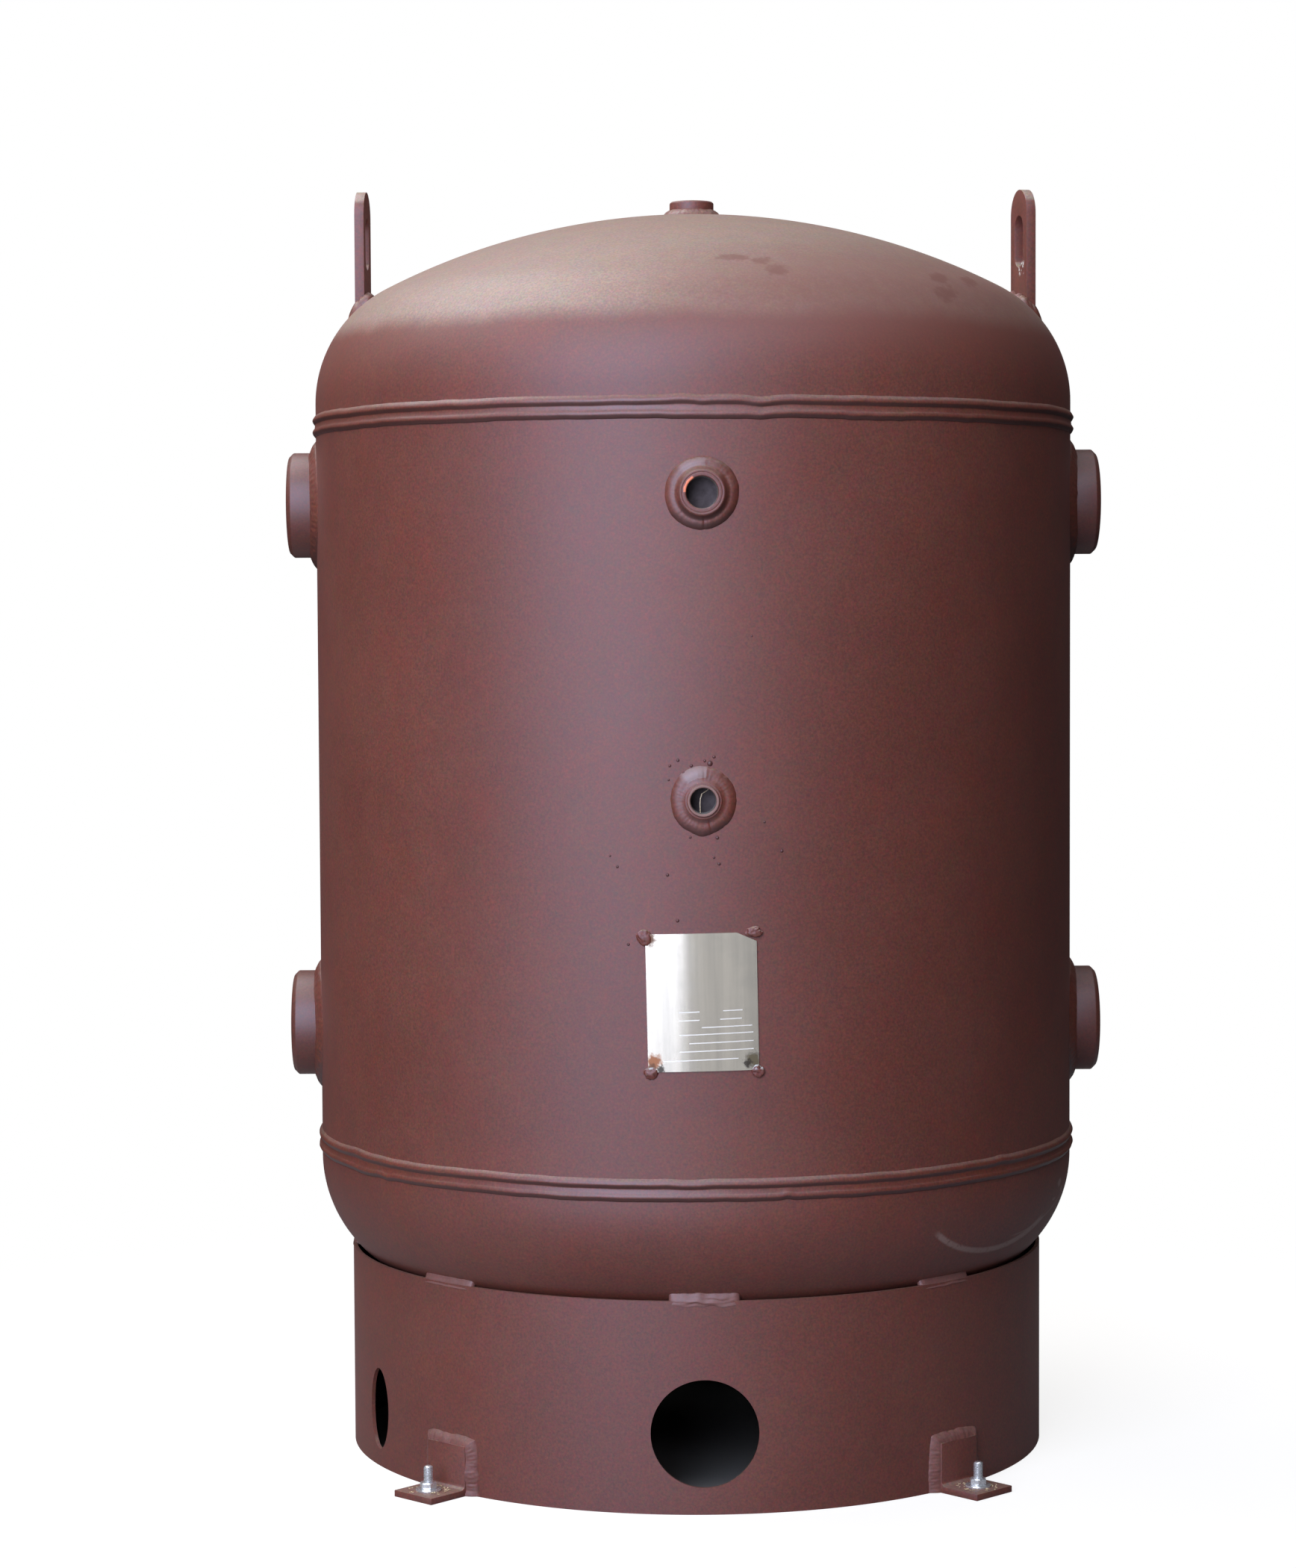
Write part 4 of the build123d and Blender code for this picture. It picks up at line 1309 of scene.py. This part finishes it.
metal = tint(tree, product(tree, ruled, 0.95), metal, (0.95, 0.94, 0.92, 1))
dull = ruled
for x, y, reach, colour in (
    (0.02, 0.97, 0.085, rust_brown), (0.055, 0.075, 0.085, rust_bright), (0.945, 0.075, 0.09, burn_olive),
    (0.115, 0.02, 0.045, burn_dark), (0.03, 0.03, 0.05, rust_brown), (0.90, 0.055, 0.045, burn_dark),
):
    across = less(tree, parts["X"], x)
    along = product(tree, less(tree, parts["Y"], y), name_high / name_wide)
    ragged = stretched(tree, where, 22.0, 27.0, 6.0, 0.75)
    span = less(tree, reckon(tree, "SQRT", sum_squares(tree, across, along)), 0.075)
    span = reckon(tree, "MULTIPLY_ADD", ragged, 0.15, span)
    spot = ramp(tree, span, 0.4 * reach, reach, 0.95, 0.0)
    metal = tint(tree, spot, metal, colour)
    dull = reckon(tree, "MAXIMUM", dull, spot)
wire(tree, skin, {
    "Base Color": metal, "Metallic": reckon(tree, "MULTIPLY_ADD", dull, -0.62, 0.8),
    "Roughness": reckon(tree, "MULTIPLY_ADD", dull, 0.35, ramp(tree, stain, 0.3, 0.7, 0.17, 0.22)),
    "Anisotropic": 0.85, "Anisotropic Rotation": 0.25, "Normal": raised(tree, brush, 0.06, 0.0001),
    "Tangent": put(tree, "Tangent", direction_type="RADIAL", axis="Z").outputs[0],
})

bm = bmesh.new()
bmesh.ops.create_grid(bm, x_segments=name_columns, y_segments=name_rows, size=0.5, calc_uvs=True)
uv = bm.loops.layers.uv.verify()
for part in bm.faces:
    for loop in part.loops:
        loop[uv].uv = (loop.vert.co.x + 0.5, loop.vert.co.y + 0.5)
bmesh.ops.bisect_plane(
    bm, geom=bm.verts[:] + bm.edges[:] + bm.faces[:], plane_co=(0.5, 0.435, 0), plane_no=(0.37, 1.0, 0),
    clear_outer=True,
)
for v in bm.verts:
    v.co.x *= name_wide
    v.co.y *= name_high
face_up(bm)
thicken(bm, name_thick)
bmesh.ops.rotate(bm, cent=(0, 0, 0), matrix=Matrix.Rotation(name_turn, 3, "Z"), verts=bm.verts[:])
for v in bm.verts:
    warp = 0.0001 * lumpiness(v.co.x * 14, v.co.y * 10, 4.0)
    reach = vessel_radius + name_thick + v.co.z + warp
    v.co = spot_at(asin((v.co.x + name_aside) / vessel_radius), reach, name_level + v.co.y)
finish(bm, "name_plate", [steel_plate], ["nameplate"])


def tack_shine(tree, under):
    """Bare bright tops on the two lower tacks."""
    where, parts = located(tree)
    patchy = grain(tree, where, 330.0, 3.0, 0.6)
    low = reckon(tree, "LESS_THAN", parts["Z"], name_level)
    edge = name_level - name_high / 2
    top = ramp(tree, parts["Z"], edge + 0.0005, edge + 0.004)
    return tint(tree, product(tree, low, top, ramp(tree, patchy, 0.42, 0.52)), under, (0.62, 0.64, 0.66, 1))


bm = bmesh.new()
for index, (side, end, out_x, out_z, wide, high) in enumerate((
    (-1, 1, -0.0020, -0.0030, 1.1, 1.1), (1, 1, -0.0038, 0.0000, 1.2, 0.75),
    (-1, -1, 0.0010, -0.0010, 1.0, 0.9), (1, -1, -0.0030, -0.0010, 0.95, 0.85),
)):
    x = side * name_wide / 2 * cos(name_turn) - end * name_high / 2 * sin(name_turn) + out_x
    z = side * name_wide / 2 * sin(name_turn) + end * name_high / 2 * cos(name_turn) + out_z
    blob = bmesh.new()
    bmesh.ops.create_icosphere(blob, subdivisions=4, radius=tack_radius)
    for v in blob.verts:
        lumpy = 0.26 * noise.noise(v.co * 190 + Vector((7.0 * index, 0, 0)))
        v.co *= 1 + lumpy + 0.14 * noise.noise(v.co * 480 + Vector((0, 3.0 * index, 0)))
        v.co = Vector((v.co.x * wide, v.co.y * 0.5, v.co.z * high))
    seat = spot_at(asin(x / vessel_radius), vessel_radius + tack_stand, name_level + z)
    lay_in(bm, blob, Matrix.Translation(seat))
tack_paint = primer_paint("tack_primer", 0.6, [tack_shine], 0.0003)
finish(bm, "name_plate_tacks", [tack_paint], ["nameplate_tacks"], sharp=75)

# Spatter: small drops of weld metal frozen on the shell round the lower front coupling.
# They were never brushed off, and the paint over them looks darker.
spatter_dark = (0.045, 0.011, 0.009, 1)
spatter_paint = primer_paint("spatter_primer", 0.0, [washed(0.6, spatter_dark)])
bm = bmesh.new()
for x, z, size in (
    (0.0062, 0.0340, 0.0026), (-0.0108, 0.0320, 0.0016), (-0.0305, 0.0320, 0.0014),
    (-0.0230, 0.0370, 0.0015), (-0.0173, 0.0250, 0.0017), (0.0014, 0.0365, 0.0014),
    (0.0100, 0.0400, 0.0015), (0.0127, -0.0340, 0.0017), (-0.0315, 0.0190, 0.0011),
    (0.0719, -0.0469, 0.0016), (-0.0788, -0.0607, 0.0014), (-0.0330, -0.0680, 0.0016),
    (0.0143, -0.0580, 0.0015), (0.0096, -0.0522, 0.0012), (-0.0240, -0.1100, 0.0017),
    (-0.0855, -0.0507, 0.0011), (0.0560, -0.0200, 0.0012), (-0.0690, -0.1320, 0.0014),
    (-0.0120, -0.0335, 0.0013), (0.0450, 0.1500, 0.0010),
):
    drop = bmesh.new()
    bmesh.ops.create_icosphere(drop, subdivisions=2, radius=size)
    seat = spot_at(asin(x / vessel_radius), vessel_radius, lower_front_level + z)
    lay_in(bm, drop, Matrix.Translation(seat) @ Matrix.Diagonal((1, 0.7, 1, 1)))
finish(bm, "weld_spatter", [spatter_paint])

# Floor and light: a plain pale floor that fades to white and keeps the tank's shadow, under large soft lamps.
# A dark surround on three sides, unseen by the camera, keeps stray light off the tank.
floor_near = 0.40
floor_far = 1.30
surround_reach = 3.3
surround_high = 4.2
surround_start = 17
surround_sweep = 295
floor_reach = 30
floor_clear = 0.002


def white_view(tree):
    """Light path, and where the camera sees a piece straight, mirrored or through."""
    path = put(tree, "LightPath").outputs
    mirrored = reckon(tree, "MAXIMUM", path["Is Glossy Ray"], path["Is Transmission Ray"])
    return path, reckon(tree, "MAXIMUM", path["Is Camera Ray"], mirrored)


pale, tree, skin = blank("pale_floor")
tree.nodes.remove(skin)
path, shown = white_view(tree)
where = put(tree, "TexCoord").outputs["Object"]
out = put(tree, "VectorMath", {0: where}, operation="LENGTH").outputs["Value"]
open_floor = product(tree, reckon(tree, "GREATER_THAN", out, skirt_radius), path["Is Camera Ray"])
fade = product(tree, ramp(tree, out, floor_near, floor_far), path["Is Camera Ray"])
fade = reckon(tree, "MAXIMUM", fade, ramp(tree, out, floor_far, 1.5 * floor_far))
lit = put(tree, "BsdfDiffuse", {"Color": (0.32, 0.32, 0.32, 1)}).outputs[0]
glow = put(tree, "Emission", {"Strength": product(tree, open_floor, 0.80)}).outputs[0]
near = put(tree, "AddShader", {0: lit, 1: glow}).outputs[0]
white = put(tree, "Emission", {"Strength": 1.0}).outputs[0]
seen = put(tree, "MixShader", {0: fade, 1: near, 2: white}).outputs[0]
bounce = put(tree, "BsdfDiffuse", {"Color": (0.25, 0.25, 0.25, 1)}).outputs[0]
both = put(tree, "MixShader", {0: shown, 1: bounce, 2: seen}).outputs[0]
wire(tree, tree.nodes["Material Output"], {"Surface": both})
bm = bmesh.new()
bmesh.ops.create_circle(bm, cap_ends=True, segments=96, radius=floor_reach)
floor = make_object(bm, "floor", [pale])

felt, tree, skin = blank("grey_felt")
wire(tree, skin, {"Base Color": (0.05, 0.05, 0.05, 1), "Roughness": 1.0, "Specular IOR Level": 0.0})
bm = bmesh.new()
direction = outward(radians(surround_start))
foot = bm.verts.new(direction * floor_far + Vector((0, 0, floor_clear)))
heel = bm.verts.new(direction * surround_reach + Vector((0, 0, floor_clear)))
top = bm.verts.new(direction * surround_reach + Vector((0, 0, surround_high)))
bm.edges.new((foot, heel))
bm.edges.new((heel, top))
bmesh.ops.spin(
    bm, geom=bm.verts[:] + bm.edges[:], cent=(0, 0, 0), axis=(0, 0, 1), angle=radians(surround_sweep),
    steps=48,
)
surround = make_object(bm, "dark_surround", [felt])
surround.visible_camera = False

for name, azimuth, distance, height, target, wide, high, radiance, colour, mirrored in (
    ("key_high_light", -24, 4.5, 3.9, 3.9, 3.2, 3.0, 5.4, (0.90, 0.97, 1.16), True),
    ("key_low_light", -24, 4.5, 1.2, 1.2, 3.2, 2.4, 4.2, (0.90, 0.97, 1.16), True),
    ("left_light", -80, 2.4, 3.0, 1.0, 3.6, 1.6, 1.5, (1.0, 0.94, 0.88), True),
    ("roof_light", -114, 1.4, 3.5, 1.1, 2.0, 2.0, 3.9, (1.0, 0.95, 0.90), True),
    ("brow_light", 18, 3.0, 3.7, 1.0, 3.4, 2.0, 2.3, (0.98, 0.95, 0.95), True),
    ("back_right_light", 152, 2.9, 1.7, 0.8, 1.6, 2.4, 1.9, (1.0, 0.98, 0.96), False),
    ("back_left_light", -152, 2.9, 1.7, 0.8, 1.6, 2.4, 1.5, (1.0, 0.98, 0.96), False),
):
    lamp = bpy.data.lights.new(name, "AREA")
    lamp.shape = "RECTANGLE"
    lamp.size = wide
    lamp.size_y = high
    lamp.energy = radiance * pi * wide * high
    lamp.color = colour
    holder = stand_up(name, lamp)
    holder.visible_camera = False
    holder.visible_glossy = mirrored
    spot = spot_at(radians(azimuth), distance, height)
    aim = Vector((0, 0, target)) - spot
    holder.matrix_world = Matrix.Translation(spot) @ aim.to_track_quat("-Z", "Y").to_matrix().to_4x4()

world = bpy.data.worlds.new("white_room")
bpy.context.scene.world = world
world.use_nodes = True
tree = world.node_tree
path, shown = white_view(tree)
brightness = ramp(tree, shown, 0.0, 1.0, 0.05, 1.0)
wire(tree, tree.nodes["Background"], {"Strength": brightness, "Color": (1, 1, 1, 1)})

# Camera: stands a little left of the nameplate's line, at two thirds of the tank's height, tipped down.
# It takes in the whole tank with a little room round it.
eye_distance = 3.639
eye_height = 0.853
eye_round = radians(-1.25)
eye_lens = 81.98
pitch, yaw, roll = radians(2.97), radians(0.74), radians(-0.29)
upwards = Vector((0, 0, 1))
level = Vector((-sin(yaw), cos(yaw), 0))
right = Vector((cos(yaw), sin(yaw), 0))
ahead = level * cos(pitch) - upwards * sin(pitch)
above = level * sin(pitch) + upwards * cos(pitch)
axes = (right * cos(roll) + above * sin(roll), above * cos(roll) - right * sin(roll), -ahead)
camera = stand_up("camera", bpy.data.cameras.new("camera"))
camera.data.sensor_fit = "VERTICAL"
camera.data.sensor_height = 36.0
camera.data.lens = eye_lens
stand = Matrix.Translation((0, -eye_distance, eye_height)) @ Matrix(axes).transposed().to_4x4()
camera.matrix_world = Matrix.Rotation(eye_round, 4, "Z") @ stand
bpy.context.scene.camera = camera
bpy.context.scene.view_settings.view_transform = "Standard"
